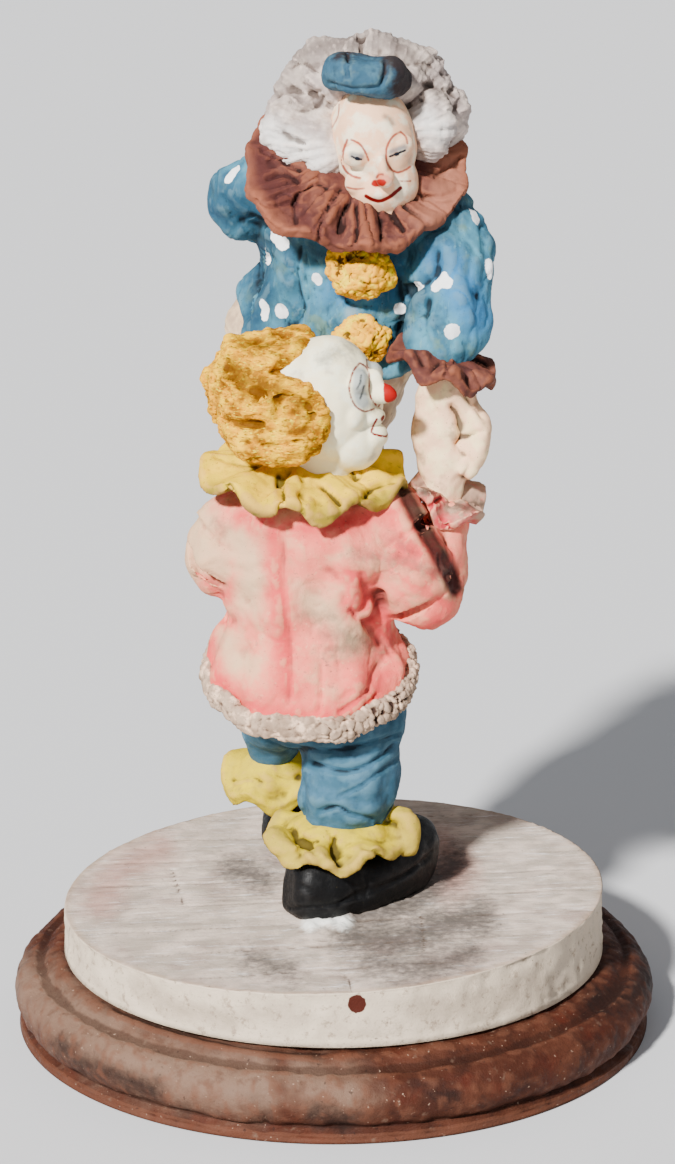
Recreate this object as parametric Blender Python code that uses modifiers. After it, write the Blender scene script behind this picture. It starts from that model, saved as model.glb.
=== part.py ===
"""Figurine of a tall clown stooping over a small one, hand in hand, on a plank floor and a turned plinth.

Metres, +Z up, +X to the right of the small clown's back, origin under the middle of the plinth.
"""

import math

import bmesh
import bpy
from mathutils import Matrix, Vector, noise

# Plinth, a turned and rounded moulding
PLINTH_RADIUS = 0.0479
PLINTH_HEIGHT = 0.0110
PLINTH_LIP_HEIGHT = 0.0012
PLINTH_LIP_INSET = 0.0008
PLINTH_TORUS_WIDTH = 0.0042
PLINTH_GROOVE_DEPTH = 0.00045
PLINTH_GROOVE_WIDTH = 0.0008
PLINTH_TURNS = 64

# Floor disc, whose planked top slopes up to the right
DISC_RADIUS = 0.0402
DISC_MIDDLE_THICKNESS = 0.0082
DISC_TILT = math.radians(2.4)
DISC_EDGE_ROUND = 0.0006
DISC_TURNS = 72
PLANK_COUNT = 9
PLANK_SEAM_WIDTH = 0.0004
PLANK_SEAM_DEPTH = 0.0003
PLANK_FAN = math.radians(2.2)

# Clear gap between pieces that lie on each other
SEAT_GAP = 0.0003

# The two clowns are one casting; every point of them is a share of its height
PAIR_HEIGHT = 0.1256
PAIR_STEPS = 125.6
STEP = PAIR_HEIGHT / PAIR_STEPS
PAIR_VOXEL = 0.0006
PAIR_TRIANGLE_SHARE = 0.033
PAIR_SMOOTHING = 0.5
PAIR_SMOOTHING_ROUNDS = 4

# Heights that follow from the stack of pieces
DISC_BOTTOM = PLINTH_HEIGHT + SEAT_GAP
DISC_TOP = DISC_BOTTOM + DISC_MIDDLE_THICKNESS
SOLE_HEIGHT = DISC_TOP + SEAT_GAP


def clear_scene():
    for old in list(bpy.data.objects):
        bpy.data.objects.remove(old, do_unlink=True)


def new_collection(name):
    group = bpy.data.collections.new(name)
    bpy.context.scene.collection.children.link(group)
    return group


def paint(name, colour, roughness):
    material = bpy.data.materials.new(name)
    material.use_nodes = True
    shader = material.node_tree.nodes["Principled BSDF"]
    shader.inputs["Base Color"].default_value = (*colour, 1.0)
    shader.inputs["Roughness"].default_value = roughness
    shader.inputs["Metallic"].default_value = 0.0
    return material


def object_from(name, bm, group, material=None):
    bmesh.ops.recalc_face_normals(bm, faces=bm.faces)
    mesh = bpy.data.meshes.new(name)
    bm.to_mesh(mesh)
    bm.free()
    mesh.shade_smooth()
    piece = bpy.data.objects.new(name, mesh)
    group.objects.link(piece)
    if material:
        mesh.materials.append(material)
    return piece


def cutter_from(name, bm, group):
    cutter = object_from(name, bm, group)
    cutter.hide_render = True
    cutter.display_type = "WIRE"
    return cutter


def cut(piece, cutter):
    boolean = piece.modifiers.new(cutter.name, "BOOLEAN")
    boolean.operation = "DIFFERENCE"
    boolean.solver = "EXACT"
    boolean.object = cutter


# The base

def arc(centre, radius, start, stop, steps):
    """Points of a round stretch of a profile, as (radius from the axis, height)."""
    points = []
    for index in range(steps + 1):
        angle = math.radians(start + (stop - start) * index / steps)
        points.append((centre[0] + radius * math.cos(angle), centre[1] + radius * math.sin(angle)))
    return points


def plinth_profile():
    """Outer side of the moulding, from the middle of its top to the middle of its foot."""
    shoulder = PLINTH_RADIUS - PLINTH_TORUS_WIDTH
    torus_height = PLINTH_HEIGHT - PLINTH_LIP_HEIGHT - PLINTH_GROOVE_DEPTH * 3
    half = torus_height / 2
    middle = PLINTH_LIP_HEIGHT + half
    profile = [(0.0, PLINTH_HEIGHT), (DISC_RADIUS + PLINTH_GROOVE_WIDTH, PLINTH_HEIGHT)]
    profile.append((shoulder - PLINTH_GROOVE_WIDTH, PLINTH_HEIGHT - PLINTH_GROOVE_DEPTH * 2))
    profile.append((shoulder, PLINTH_HEIGHT - PLINTH_GROOVE_DEPTH * 4))
    for across, height in arc((0.0, 0.0), 1.0, 78, -62, 8):
        profile.append((shoulder + across * PLINTH_TORUS_WIDTH, middle + height * half))
    profile.append((PLINTH_RADIUS - PLINTH_LIP_INSET, PLINTH_LIP_HEIGHT))
    profile.append((PLINTH_RADIUS - PLINTH_LIP_INSET, 0.0))
    profile.append((0.0, 0.0))
    return profile


def build_plinth(group):
    bm = bmesh.new()
    corners = [bm.verts.new((across, 0.0, height)) for across, height in plinth_profile()]
    for upper, lower in zip(corners, corners[1:]):
        bm.edges.new((upper, lower))
    mesh = bpy.data.meshes.new("plinth")
    bm.to_mesh(mesh)
    bm.free()
    plinth = bpy.data.objects.new("plinth", mesh)
    group.objects.link(plinth)
    mesh.materials.append(paint("terracotta_brown", (0.26, 0.10, 0.06), 0.75))
    turn = plinth.modifiers.new("turn", "SCREW")
    turn.axis = "Z"
    turn.angle = math.tau
    turn.steps = PLINTH_TURNS
    turn.render_steps = PLINTH_TURNS
    turn.use_merge_vertices = True
    turn.merge_threshold = 0.00001
    turn.use_smooth_shade = True
    return plinth


def floor_height(across):
    """Height of the sloping floor at a distance to the right of the middle."""
    return DISC_TOP + across * math.tan(DISC_TILT)


def build_floor_disc(group, cutters):
    bm = bmesh.new()
    bmesh.ops.create_cone(
        bm, cap_ends=True, segments=DISC_TURNS, radius1=DISC_RADIUS, radius2=DISC_RADIUS,
        depth=DISC_MIDDLE_THICKNESS)
    for vert in bm.verts:
        if vert.co.z > 0.0:
            vert.co.z = floor_height(vert.co.x)
        else:
            vert.co.z = DISC_BOTTOM
    disc = object_from("floor_disc", bm, group, paint("white_plaster", (0.78, 0.75, 0.70), 0.85))
    rounding = disc.modifiers.new("worn_edge", "BEVEL")
    rounding.width = DISC_EDGE_ROUND
    rounding.segments = 2
    rounding.limit_method = "ANGLE"
    rounding.angle_limit = math.radians(60)
    cut(disc, plank_seams(cutters))
    return disc


def plank_seams(cutters):
    """Shallow grooves between the boards, fanned a little, joined as one cutter."""
    bm = bmesh.new()
    board = 2 * DISC_RADIUS / PLANK_COUNT
    tilt = Matrix.Rotation(-DISC_TILT, 4, "Y")
    for index in range(1, PLANK_COUNT):
        back = -DISC_RADIUS + board * index
        turn = Matrix.Rotation(PLANK_FAN * (index - PLANK_COUNT / 2) * -0.5, 4, "Z")
        size = Matrix.Diagonal((DISC_RADIUS * 2.4, PLANK_SEAM_WIDTH, PLANK_SEAM_DEPTH * 2, 1.0))
        place = Matrix.Translation((0.0, back, DISC_TOP))
        bmesh.ops.create_cube(bm, size=1.0, matrix=place @ tilt @ turn @ size)
    return cutter_from("plank_seams", bm, cutters)


# Forms that the clowns are modelled from, measured in steps of their height above the floor

def smooth_between(stations, per_span):
    """Stations with more of them put between, along a curve that passes through each."""
    last = len(stations) - 1
    curve = []
    for span in range(last):
        before = stations[max(span - 1, 0)]
        start = stations[span]
        stop = stations[span + 1]
        after = stations[min(span + 2, last)]
        for step in range(per_span):
            t = step / per_span
            curve.append([
                0.5 * (2 * b + (c - a) * t + (2 * a - 5 * b + 4 * c - d) * t * t
                       + (3 * b - a - 3 * c + d) * t ** 3)
                for a, b, c, d in zip(before, start, stop, after)])
    curve.append(list(stations[last]))
    return curve


def skin(bm, rings, closed=False):
    """Joins rings of equal count by quads, with a fan over each end unless the rings close up."""
    layers = [[bm.verts.new(point * STEP) for point in ring] for ring in rings]
    count = len(rings[0])
    pairs = list(zip(layers, layers[1:]))
    if closed:
        pairs.append((layers[-1], layers[0]))
    for lower, upper in pairs:
        for index in range(count):
            beside = (index + 1) % count
            bm.faces.new((lower[index], lower[beside], upper[beside], upper[index]))
    if not closed:
        for layer in (layers[0], layers[-1]):
            middle = bm.verts.new(sum((vert.co for vert in layer), Vector()) / count)
            for index in range(count):
                bm.faces.new((layer[index], layer[(index + 1) % count], middle))


def crumple(point, depth, size):
    """Uneven hand-pressed surface: how far a point moves out."""
    return depth * noise.noise(Vector(point) / size)


def limb(bm, stations, crease=0.0, sides=20, per_span=5, square=1.0):
    """A sleeve, leg, shoe or roll along stations of (x, y, z, half width, half height).

    A square below 1 makes its section boxy.
    """
    stations = smooth_between(stations, per_span)
    centres = [Vector(station[:3]) for station in stations]
    rings = []
    for index, centre in enumerate(centres):
        ahead = centres[min(index + 1, len(centres) - 1)] - centres[max(index - 1, 0)]
        ahead.normalize()
        guide = Vector((0.0, 0.0, 1.0)) if abs(ahead.z) < 0.8 else Vector((0.0, -1.0, 0.0))
        side = ahead.cross(guide).normalized()
        over = side.cross(ahead).normalized()
        wide, high = stations[index][3:5]
        ring = []
        for corner in range(sides):
            angle = math.tau * corner / sides
            across = math.copysign(abs(math.cos(angle)) ** square, math.cos(angle))
            up = math.copysign(abs(math.sin(angle)) ** square, math.sin(angle))
            reach = side * (across * wide) + over * (up * high)
            reach *= 1.0 + crumple(centre + reach, crease, 3.2)
            ring.append(centre + reach)
        rings.append(ring)
    skin(bm, rings)


def garment(bm, stations, folds=0, fold_depth=0.0, crease=0.0, sides=48, per_span=5):
    """A jacket or trousers over stations of (x, y, z, half width, half depth, rise to the back)."""
    rings = []
    stations = smooth_between(stations, per_span)
    for index, (x, y, z, wide, deep, rise) in enumerate(stations):
        share = 1.0 - index / (len(stations) - 1)
        ring = []
        for corner in range(sides):
            angle = math.tau * corner / sides
            swell = 1.0 + fold_depth * share * math.sin(folds * angle + 1.3 * math.sin(angle * 2))
            across = math.cos(angle) * wide * swell
            away = math.sin(angle) * deep * swell
            point = Vector((x + across, y + away, z + rise * away))
            grow = crumple(point, crease, 5.0)
            ring.append(point + Vector((across, away, 0.0)) * grow)
        rings.append(ring)
    skin(bm, rings)


def turned(pitch=0.0, roll=0.0, yaw=0.0):
    """Rotation in degrees: pitch drops the side that faces -Y, roll drops the right."""
    return (Matrix.Rotation(math.radians(yaw), 3, "Z") @ Matrix.Rotation(math.radians(roll), 3, "Y")
            @ Matrix.Rotation(math.radians(pitch), 3, "X"))


def ruffle(bm, centre, radius, thick, waves, lift, turn, inner=0.3, cup=0.0):
    """A pleated collar or cuff: a thin plate whose rim waves up and down."""
    centre = Vector(centre)
    across_steps = 5
    rings = []
    for corner in range(waves * 8):
        angle = math.tau * corner / (waves * 8)
        wander = 0.35 * math.sin(3 * angle + 0.7)
        outline = 1.0 + 0.05 * math.sin(2 * angle + 1.0) + 0.03 * math.sin(waves * angle * 0.5)
        section = []
        for side in (1, -1):
            steps = range(across_steps + 1)
            for step in (steps if side > 0 else reversed(steps)):
                share = inner + (1.0 - inner) * step / across_steps
                wave = lift * share ** 1.4 * math.sin(waves * angle + wander)
                height = wave + cup * share * share + side * thick * (0.62 - 0.24 * share)
                reach = radius * share * outline
                spot = Vector((math.cos(angle) * reach, math.sin(angle) * reach, height))
                section.append(centre + turn @ spot)
        rings.append(section)
    skin(bm, rings, closed=True)


def ball(bm, centre, radii, turn=None, lumps=0.0, lump_size=2.0, detail=3):
    """A rounded form, with knobs over it where lumps is set."""
    made = bmesh.ops.create_icosphere(bm, subdivisions=detail, radius=1.0)
    turn = turn or Matrix.Identity(3)
    centre = Vector(centre)
    for vert in made["verts"]:
        spot = Vector([part * radius for part, radius in zip(vert.co, radii)])
        if lumps:
            spot += vert.co * (lumps * noise.noise((spot + centre) / lump_size))
        vert.co = (centre + turn @ spot) * STEP


# The small clown, seen from the back, looking to the right

def small_clown(bm):
    small_clown_legs(bm)
    small_clown_jacket(bm)
    small_clown_head(bm)


def small_clown_legs(bm):
    limb(bm, [
        (-6.5, -11.3, 4.3, 2.4, 3.4), (-5.4, -10.9, 4.2, 4.4, 4.5), (-1.6, -9.4, 4.1, 5.1, 5.1),
        (3.0, -6.6, 3.9, 5.2, 4.9), (7.0, -2.8, 4.2, 5.3, 5.1), (10.0, 1.2, 4.9, 5.2, 5.7),
        (11.9, 4.8, 4.9, 4.2, 5.1), (12.8, 7.0, 4.6, 1.8, 2.8)], crease=0.05, square=0.72)
    limb(bm, [
        (-7.0, 11.6, 2.8, 1.0, 1.6), (-6.9, 13.2, 3.4, 3.8, 3.9), (-6.6, 17.5, 3.5, 4.4, 4.3),
        (-6.1, 22.0, 3.9, 4.6, 4.7), (-5.8, 26.0, 3.9, 3.8, 4.2), (-5.6, 28.4, 3.6, 1.1, 1.8)],
        crease=0.05)
    small_clown_ankle_cuffs(bm)
    limb(bm, [
        (0.4, -5.0, 5.0, 4.2, 4.2), (0.7, -4.8, 10.5, 4.9, 4.9), (1.3, -4.2, 13.5, 6.3, 6.3),
        (2.5, -3.8, 18.5, 7.2, 7.2), (2.6, -3.4, 24.5, 7.5, 7.6), (2.2, -2.6, 33.0, 8.6, 8.4)],
        crease=0.10)
    limb(bm, [
        (-7.4, 16.6, 4.0, 3.0, 3.0), (-9.2, 15.6, 11.0, 3.2, 3.2), (-9.2, 14.2, 17.0, 4.0, 3.6),
        (-8.6, 10.5, 22.8, 5.4, 4.8), (-7.4, 5.0, 28.0, 6.8, 6.2), (-5.8, -0.5, 33.5, 8.0, 8.0)],
        crease=0.08)
    ball(bm, (-2.2, -2.4, 29.6), (11.4, 8.0, 6.6))


def small_clown_ankle_cuffs(bm):
    ruffle(bm, (0.5, -5.2, 10.9), 10.7, 2.1, 7, 1.2, turned(pitch=4, roll=-3, yaw=34), cup=-0.5)
    ball(bm, (0.9, -4.8, 11.0), (7.6, 6.8, 3.2))
    limb(bm, [
        (-5.0, -12.2, 10.2, 1.2, 1.2), (-7.4, -11.0, 10.6, 1.7, 1.6), (-8.6, -8.8, 11.2, 1.8, 1.7),
        (-7.6, -6.8, 11.6, 1.3, 1.3)])
    limb(bm, [
        (8.6, -5.6, 14.0, 1.4, 1.2), (10.4, -6.4, 13.6, 1.5, 1.4), (11.2, -7.0, 11.4, 1.4, 1.5),
        (11.1, -7.2, 9.0, 1.5, 1.4), (11.0, -7.2, 7.8, 1.0, 0.8)])
    ruffle(bm, (-8.6, 15.2, 13.2), 7.8, 3.4, 5, 1.2, turned(pitch=27, roll=-6), cup=-0.4)
    ball(bm, (-8.6, 14.6, 13.2), (6.6, 4.8, 5.0), lumps=1.0, lump_size=3.5)


def small_clown_jacket(bm):
    garment(bm, [
        (-3.5, -4.0, 34.2, 13.6, 10.6, 0.46), (-3.5, -4.0, 35.6, 14.6, 11.4, 0.46),
        (-3.5, -4.0, 39.0, 13.6, 11.0, 0.38), (-3.6, -3.8, 43.5, 12.2, 10.0, 0.26),
        (-3.2, -4.0, 49.5, 13.4, 10.6, 0.12), (-3.0, -4.2, 55.0, 14.2, 10.6, 0.05),
        (-3.2, -4.2, 60.0, 12.6, 9.4, 0.0), (-3.4, -4.3, 64.5, 6.8, 6.2, 0.0)],
        folds=9, fold_depth=0.045, crease=0.10)
    hem_frill(bm, (-3.5, -4.0, 35.2), (14.7, 11.5), (1.15, 2.0), 0.46)
    limb(bm, [
        (-8.5, -4.2, 58.5, 6.0, 6.2), (-13.4, -4.4, 56.2, 5.9, 6.4), (-16.2, -3.9, 52.4, 5.2, 5.8),
        (-15.6, 0.2, 50.8, 4.8, 4.8), (-14.2, 5.4, 50.4, 4.2, 4.1), (-12.4, 8.6, 50.8, 3.6, 3.4)],
        crease=0.14)
    ruffle(bm, (-12.2, 8.8, 51.0), 5.2, 1.1, 6, 0.9, turned(pitch=-68, yaw=-32))
    ball(bm, (-10.8, 11.6, 51.0), (3.2, 3.4, 2.6), lumps=0.8)
    limb(bm, [
        (1.5, -4.6, 59.5, 5.8, 6.2), (7.2, -5.4, 56.6, 6.2, 7.2), (11.2, -6.8, 50.4, 6.4, 6.8),
        (13.4, -6.4, 47.6, 5.0, 5.2), (15.2, -3.2, 50.6, 4.0, 4.4), (16.2, -0.8, 55.0, 3.4, 3.8),
        (16.2, 0.2, 59.5, 3.4, 3.4)], crease=0.12)
    ruffle(bm, (16.2, 0.0, 59.6), 6.1, 2.4, 4, 1.5, turned(pitch=28, roll=18, yaw=30), cup=0.8)
    ruffle(bm, (-4.0, -4.4, 66.6), 14.2, 2.2, 9, 1.3, turned(pitch=11, roll=3, yaw=14), inner=0.25, cup=-1.6)


def hem_frill(bm, centre, reach, section_size, rise):
    """A gathered edging round a jacket's hem, higher to the back."""
    x, y, z = centre
    wide, deep = reach
    thick, tall = section_size
    steps = 120
    rings = []
    for corner in range(steps):
        angle = math.tau * corner / steps
        away = math.sin(angle) * deep
        wave = 0.25 * math.sin(angle * 7 + 1.0) + 0.15 * math.sin(angle * 12)
        middle = Vector((x + math.cos(angle) * wide, y + away, z + rise * away + wave))
        out = Vector((math.cos(angle), math.sin(angle), 0.0))
        section = []
        for step in range(8):
            turn = math.tau * step / 8
            section.append(middle + out * (math.cos(turn) * thick) + Vector((0.0, 0.0, math.sin(turn) * tall)))
        rings.append(section)
    skin(bm, rings, closed=True)


def small_clown_head(bm):
    look = turned(yaw=68, roll=0)
    centre = Vector((-0.8, -5.0, 75.4))

    def on_head(side, front, up):
        return centre + look @ Vector((side, -front, up))

    limb(bm, [(-2.6, -4.5, 62.0, 5.0, 5.0), (-1.6, -4.8, 70.0, 5.4, 5.4)])
    ball(bm, centre, (7.7, 7.4, 9.6), look, detail=4)
    ball(bm, on_head(-1.0, -3.4, 2.6), (6.6, 6.4, 6.4), look, detail=4)
    ball(bm, on_head(0.0, 4.0, -5.2), (4.8, 4.0, 4.3), look)
    ball(bm, on_head(0.0, 6.7, -4.4), (2.7, 2.4, 2.0), look)
    ball(bm, on_head(0.0, 8.0, 2.0), (1.4, 2.5, 1.5), look)
    ball(bm, on_head(0.0, 6.9, 3.6), (1.1, 1.5, 1.9), look)
    ball(bm, on_head(0.0, 6.9, -1.5), (2.6, 1.6, 1.1), look)
    for side in (-1, 1):
        ball(bm, on_head(side * 2.7, 5.6, 4.0), (2.3, 1.5, 1.7), look)
        ball(bm, on_head(side * 3.3, 5.4, -0.8), (2.2, 1.6, 2.1), look)
    small_clown_hair(bm)


def small_clown_hair(bm):
    for centre, radii, roll in (
            ((-10.6, -6.6, 76.2), (6.2, 6.0, 6.4), -8), ((-11.4, -3.0, 77.0), (6.4, 7.4, 7.8), 0),
            ((-6.8, 2.4, 77.8), (7.2, 5.2, 7.0), 12)):
        ball(bm, centre, radii, turned(roll=roll), lumps=1.8, lump_size=3.2, detail=4)
    limb(bm, [
        (-14.4, -8.6, 73.6, 2.6, 2.6), (-11.4, -12.0, 72.0, 3.2, 3.1), (-7.2, -13.2, 71.4, 3.4, 3.2),
        (-4.0, -12.8, 72.6, 3.1, 3.3), (-3.2, -12.2, 75.8, 2.6, 2.9), (-5.4, -12.0, 78.0, 2.4, 2.4),
        (-9.0, -11.4, 78.6, 2.2, 2.0)], crease=0.16)
    limb(bm, [
        (-15.2, -6.0, 77.4, 2.8, 2.8), (-13.2, -9.2, 77.2, 3.0, 2.8), (-10.2, -11.4, 77.0, 2.6, 2.4)],
        crease=0.16)
    limb(bm, [
        (-13.8, -5.4, 80.6, 2.6, 2.4), (-11.0, -7.4, 81.4, 2.8, 2.6), (-7.4, -7.4, 82.6, 2.8, 2.3),
        (-3.8, -4.4, 83.2, 2.2, 1.6)], crease=0.16)


# The tall clown, facing the small one and stooping over it

def tall_clown(bm):
    tall_clown_legs(bm)
    tall_clown_jacket(bm)
    tall_clown_head(bm)


def tall_clown_legs(bm):
    for ankle, shin, knee, thigh, hip, toe_out in (
            ((3.4, 21.2), (1.4, 20.8), (0.2, 21.0), -0.8, 4.0, 0.6),
            ((0.0, 32.2), (-2.2, 29.8), (-4.6, 27.4), -6.0, -5.4, -1.2)):
        x, y = ankle
        limb(bm, [
            (x - toe_out * 0.3, y + 4.2, 3.0, 1.0, 1.6), (x, y + 2.6, 3.4, 3.6, 3.8),
            (x, y - 1.0, 3.6, 3.9, 4.1), (x + toe_out * 0.4, y - 4.4, 3.8, 4.0, 4.4),
            (x + toe_out * 0.7, y - 6.8, 3.6, 3.4, 3.8), (x + toe_out * 0.8, y - 8.2, 3.4, 1.2, 1.8)],
            crease=0.05)
        ruffle(bm, (x, y, 10.2), 5.0, 1.2, 7, 0.8, turned(pitch=4))
        limb(bm, [
            (x, y, 4.0, 2.8, 2.8), (x, y, 11.0, 3.4, 3.6), (x, y, 17.0, 4.4, 5.0),
            (*shin, 30.0, 5.6, 7.2), (*knee, 45.0, 7.4, 8.6),
            (thigh, 22.8, 61.0, 8.0, 9.8), (hip, 23.2, 77.0, 9.0, 10.4)],
            crease=0.14, sides=28)
    ball(bm, (1.8, 23.6, 81.6), (17.4, 12.4, 9.4), lumps=2.0, lump_size=6.0, detail=4)


def tall_clown_jacket(bm):
    garment(bm, [
        (3.2, 19.0, 81.6, 16.4, 12.4, 0.45), (3.2, 18.8, 83.2, 17.0, 13.0, 0.45),
        (3.3, 17.4, 88.6, 14.9, 12.0, 0.36), (3.5, 15.6, 95.0, 14.0, 10.8, 0.30),
        (3.7, 13.6, 100.5, 13.0, 9.4, 0.25), (3.9, 12.2, 105.5, 9.6, 7.8, 0.2),
        (4.3, 10.4, 111.5, 5.6, 5.6, 0.1)],
        folds=7, fold_depth=0.05, crease=0.12)
    limb(bm, [
        (-4.0, 13.0, 101.5, 5.4, 5.8), (-9.6, 13.8, 103.2, 4.8, 5.2), (-14.2, 15.6, 101.2, 4.0, 4.6),
        (-12.4, 18.6, 98.8, 4.9, 4.8), (-10.2, 23.4, 96.4, 3.6, 3.6)], crease=0.14)
    ruffle(bm, (-9.8, 24.0, 95.8), 5.0, 1.2, 6, 0.9, turned(pitch=-52, yaw=-34))
    limb(bm, [
        (-9.2, 25.0, 95.0, 2.2, 2.2), (-6.4, 28.6, 92.6, 2.8, 2.2), (-3.4, 30.2, 90.6, 3.0, 2.0),
        (-1.0, 30.6, 89.4, 1.4, 1.2)])
    limb(bm, [
        (8.5, 13.0, 102.0, 5.6, 6.0), (14.0, 12.2, 100.6, 6.0, 6.2), (16.2, 10.0, 95.6, 6.4, 6.8),
        (16.4, 7.0, 89.0, 6.5, 7.0), (16.0, 4.8, 83.6, 6.2, 6.4), (15.8, 3.4, 79.4, 5.0, 5.0),
        (15.9, 2.9, 75.5, 3.4, 3.4)], crease=0.14, sides=28)
    ruffle(bm, (16.3, 2.8, 80.0), 7.9, 2.2, 6, 1.1, turned(pitch=12, roll=15, yaw=22), inner=0.2, cup=-1.0)
    gloved_hand(bm)
    ruffle(bm, (3.2, 8.4, 107.1), 15.7, 2.4, 11, 0.7, turned(pitch=39, roll=1, yaw=10), inner=0.2, cup=-0.9)
    for centre, radii in (
            ((4.1, 3.2, 92.2), (4.6, 3.2, 3.3)), ((2.0, 4.0, 94.6), (3.0, 2.2, 1.8)),
            ((3.9, 4.6, 82.2), (4.2, 3.0, 3.4))):
        ball(bm, centre, radii, lumps=1.0, lump_size=2.4)


def gloved_hand(bm):
    """The tall clown's hand, which hangs into the small clown's cuff."""
    limb(bm, [
        (15.9, 2.8, 78.0, 3.2, 3.0), (16.2, 2.4, 74.6, 4.2, 3.2), (16.4, 2.0, 70.5, 4.9, 3.2),
        (16.2, 1.5, 66.0, 4.5, 3.0), (16.0, 1.0, 62.2, 3.0, 2.6), (16.0, 0.6, 58.5, 2.4, 2.2)],
        crease=0.10)
    limb(bm, [
        (18.6, 1.8, 73.5, 1.6, 1.8), (20.6, 1.0, 70.6, 2.0, 2.2), (20.4, 0.2, 66.8, 1.9, 2.0),
        (18.4, -0.4, 63.8, 1.5, 1.5)], crease=0.08)


def tall_clown_head(bm):
    look = turned(pitch=14, roll=-10, yaw=12)
    centre = Vector((4.9, 7.6, 110.2))

    def on_head(side, front, up):
        return centre + look @ Vector((side, -front, up))

    swept_mane(bm)
    ball(bm, on_head(0.8, 0.0, 0.2), (6.1, 7.8, 8.8), look, detail=4)
    ball(bm, on_head(0.6, 4.0, -4.6), (5.4, 4.4, 4.9), look)
    ball(bm, on_head(0.0, 8.6, -1.7), (1.4, 1.9, 1.3), look)
    ball(bm, on_head(0.0, 8.0, -0.4), (0.9, 1.5, 2.2), look)
    ball(bm, on_head(0.0, 7.0, -4.2), (3.1, 1.6, 1.2), look)
    ball(bm, on_head(0.6, 5.4, -7.9), (2.6, 2.2, 1.7), look)
    for side in (-1, 1):
        ball(bm, on_head(side * 2.7, 6.1, 1.6), (2.5, 1.3, 1.9), look)
        ball(bm, on_head(side * 2.8, 5.5, -2.9), (2.4, 1.5, 2.1), look)
    pillbox_hat(bm, on_head(0.8, 0.8, 10.9), turned(pitch=-3, roll=6))


def swept_mane(bm):
    """White hair that stands out all round the face."""
    ball(bm, (4.6, 14.0, 113.2), (14.5, 6.2, 12.3), turned(pitch=10), lumps=1.7, lump_size=5.2, detail=5)
    for centre, radii, roll in (
            ((-4.8, 9.6, 111.6), (5.8, 4.0, 5.6), 10), ((-1.2, 6.9, 109.6), (3.6, 3.0, 4.6), -28),
            ((13.6, 9.2, 112.6), (3.8, 3.8, 5.4), 0), ((4.8, 9.4, 118.8), (8.6, 4.4, 4.2), 0)):
        ball(bm, centre, radii, turned(roll=roll), lumps=0.7, lump_size=3.4)


def pillbox_hat(bm, centre, turn):
    rings = []
    for height, radius in (
            (-2.9, 3.6), (-2.5, 4.9), (-1.3, 6.0), (0.3, 6.4), (1.6, 5.7), (2.4, 4.4), (2.5, 2.6)):
        ring = []
        for corner in range(24):
            angle = math.tau * corner / 24
            spot = Vector((math.cos(angle) * radius, math.sin(angle) * radius * 0.9, height))
            ring.append(Vector(centre) + turn @ spot)
        rings.append(ring)
    skin(bm, rings)


def build_clown_pair(group, cutters):
    """Both clowns as one closed casting, flat under the soles, which follow the sloping floor."""
    bm = bmesh.new()
    small_clown(bm)
    tall_clown(bm)
    bmesh.ops.translate(bm, verts=bm.verts, vec=(0.0, 0.0, DISC_TOP))
    pair = object_from("clown_pair", bm, group, paint("painted_plaster", (0.62, 0.50, 0.42), 0.8))
    fuse = pair.modifiers.new("fuse", "REMESH")
    fuse.mode = "VOXEL"
    fuse.voxel_size = PAIR_VOXEL
    fuse.use_smooth_shade = True
    soften = pair.modifiers.new("soften", "SMOOTH")
    soften.factor = PAIR_SMOOTHING
    soften.iterations = PAIR_SMOOTHING_ROUNDS
    thin_out = pair.modifiers.new("thin_out", "DECIMATE")
    thin_out.ratio = PAIR_TRIANGLE_SHARE
    thin_out.use_collapse_triangulate = True
    cut(pair, below_the_soles(cutters))
    return pair


def below_the_soles(cutters):
    bm = bmesh.new()
    depth = DISC_MIDDLE_THICKNESS
    size = Matrix.Diagonal((DISC_RADIUS * 3, DISC_RADIUS * 3, depth, 1.0))
    tilt = Matrix.Rotation(-DISC_TILT, 4, "Y")
    drop = Matrix.Translation((0.0, 0.0, -depth / 2))
    place = Matrix.Translation((0.0, 0.0, SOLE_HEIGHT))
    bmesh.ops.create_cube(bm, size=1.0, matrix=place @ tilt @ drop @ size)
    return cutter_from("below_the_soles", bm, cutters)


def main():
    clear_scene()
    parts = new_collection("clown_figurine")
    cutters = new_collection("cutters")
    build_plinth(parts)
    build_floor_disc(parts, cutters)
    build_clown_pair(parts, cutters)


main()
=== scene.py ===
import math

import bmesh
import bpy
import numpy as np
from mathutils import Matrix, Vector, noise


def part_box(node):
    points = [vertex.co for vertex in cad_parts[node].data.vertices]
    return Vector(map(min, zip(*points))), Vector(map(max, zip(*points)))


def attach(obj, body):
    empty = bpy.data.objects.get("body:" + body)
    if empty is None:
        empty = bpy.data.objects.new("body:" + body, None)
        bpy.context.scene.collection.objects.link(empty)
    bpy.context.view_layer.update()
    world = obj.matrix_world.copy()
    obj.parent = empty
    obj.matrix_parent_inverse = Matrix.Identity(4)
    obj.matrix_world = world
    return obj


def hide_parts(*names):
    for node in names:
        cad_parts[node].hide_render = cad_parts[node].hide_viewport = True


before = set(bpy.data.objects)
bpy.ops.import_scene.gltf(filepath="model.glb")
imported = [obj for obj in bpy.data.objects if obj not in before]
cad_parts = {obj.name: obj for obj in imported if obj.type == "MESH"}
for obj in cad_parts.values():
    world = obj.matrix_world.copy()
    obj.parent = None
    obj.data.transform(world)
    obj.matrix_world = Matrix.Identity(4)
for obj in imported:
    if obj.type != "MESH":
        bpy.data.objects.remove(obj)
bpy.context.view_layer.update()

# Figurine of two painted plaster clowns on a planked disc and a turned plinth.
# The figures are measured in mm from the middle of the floor's top: x right, y away, z up.

mm = 0.001
discLow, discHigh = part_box("floor_disc")
plinthLow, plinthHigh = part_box("plinth")

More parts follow.
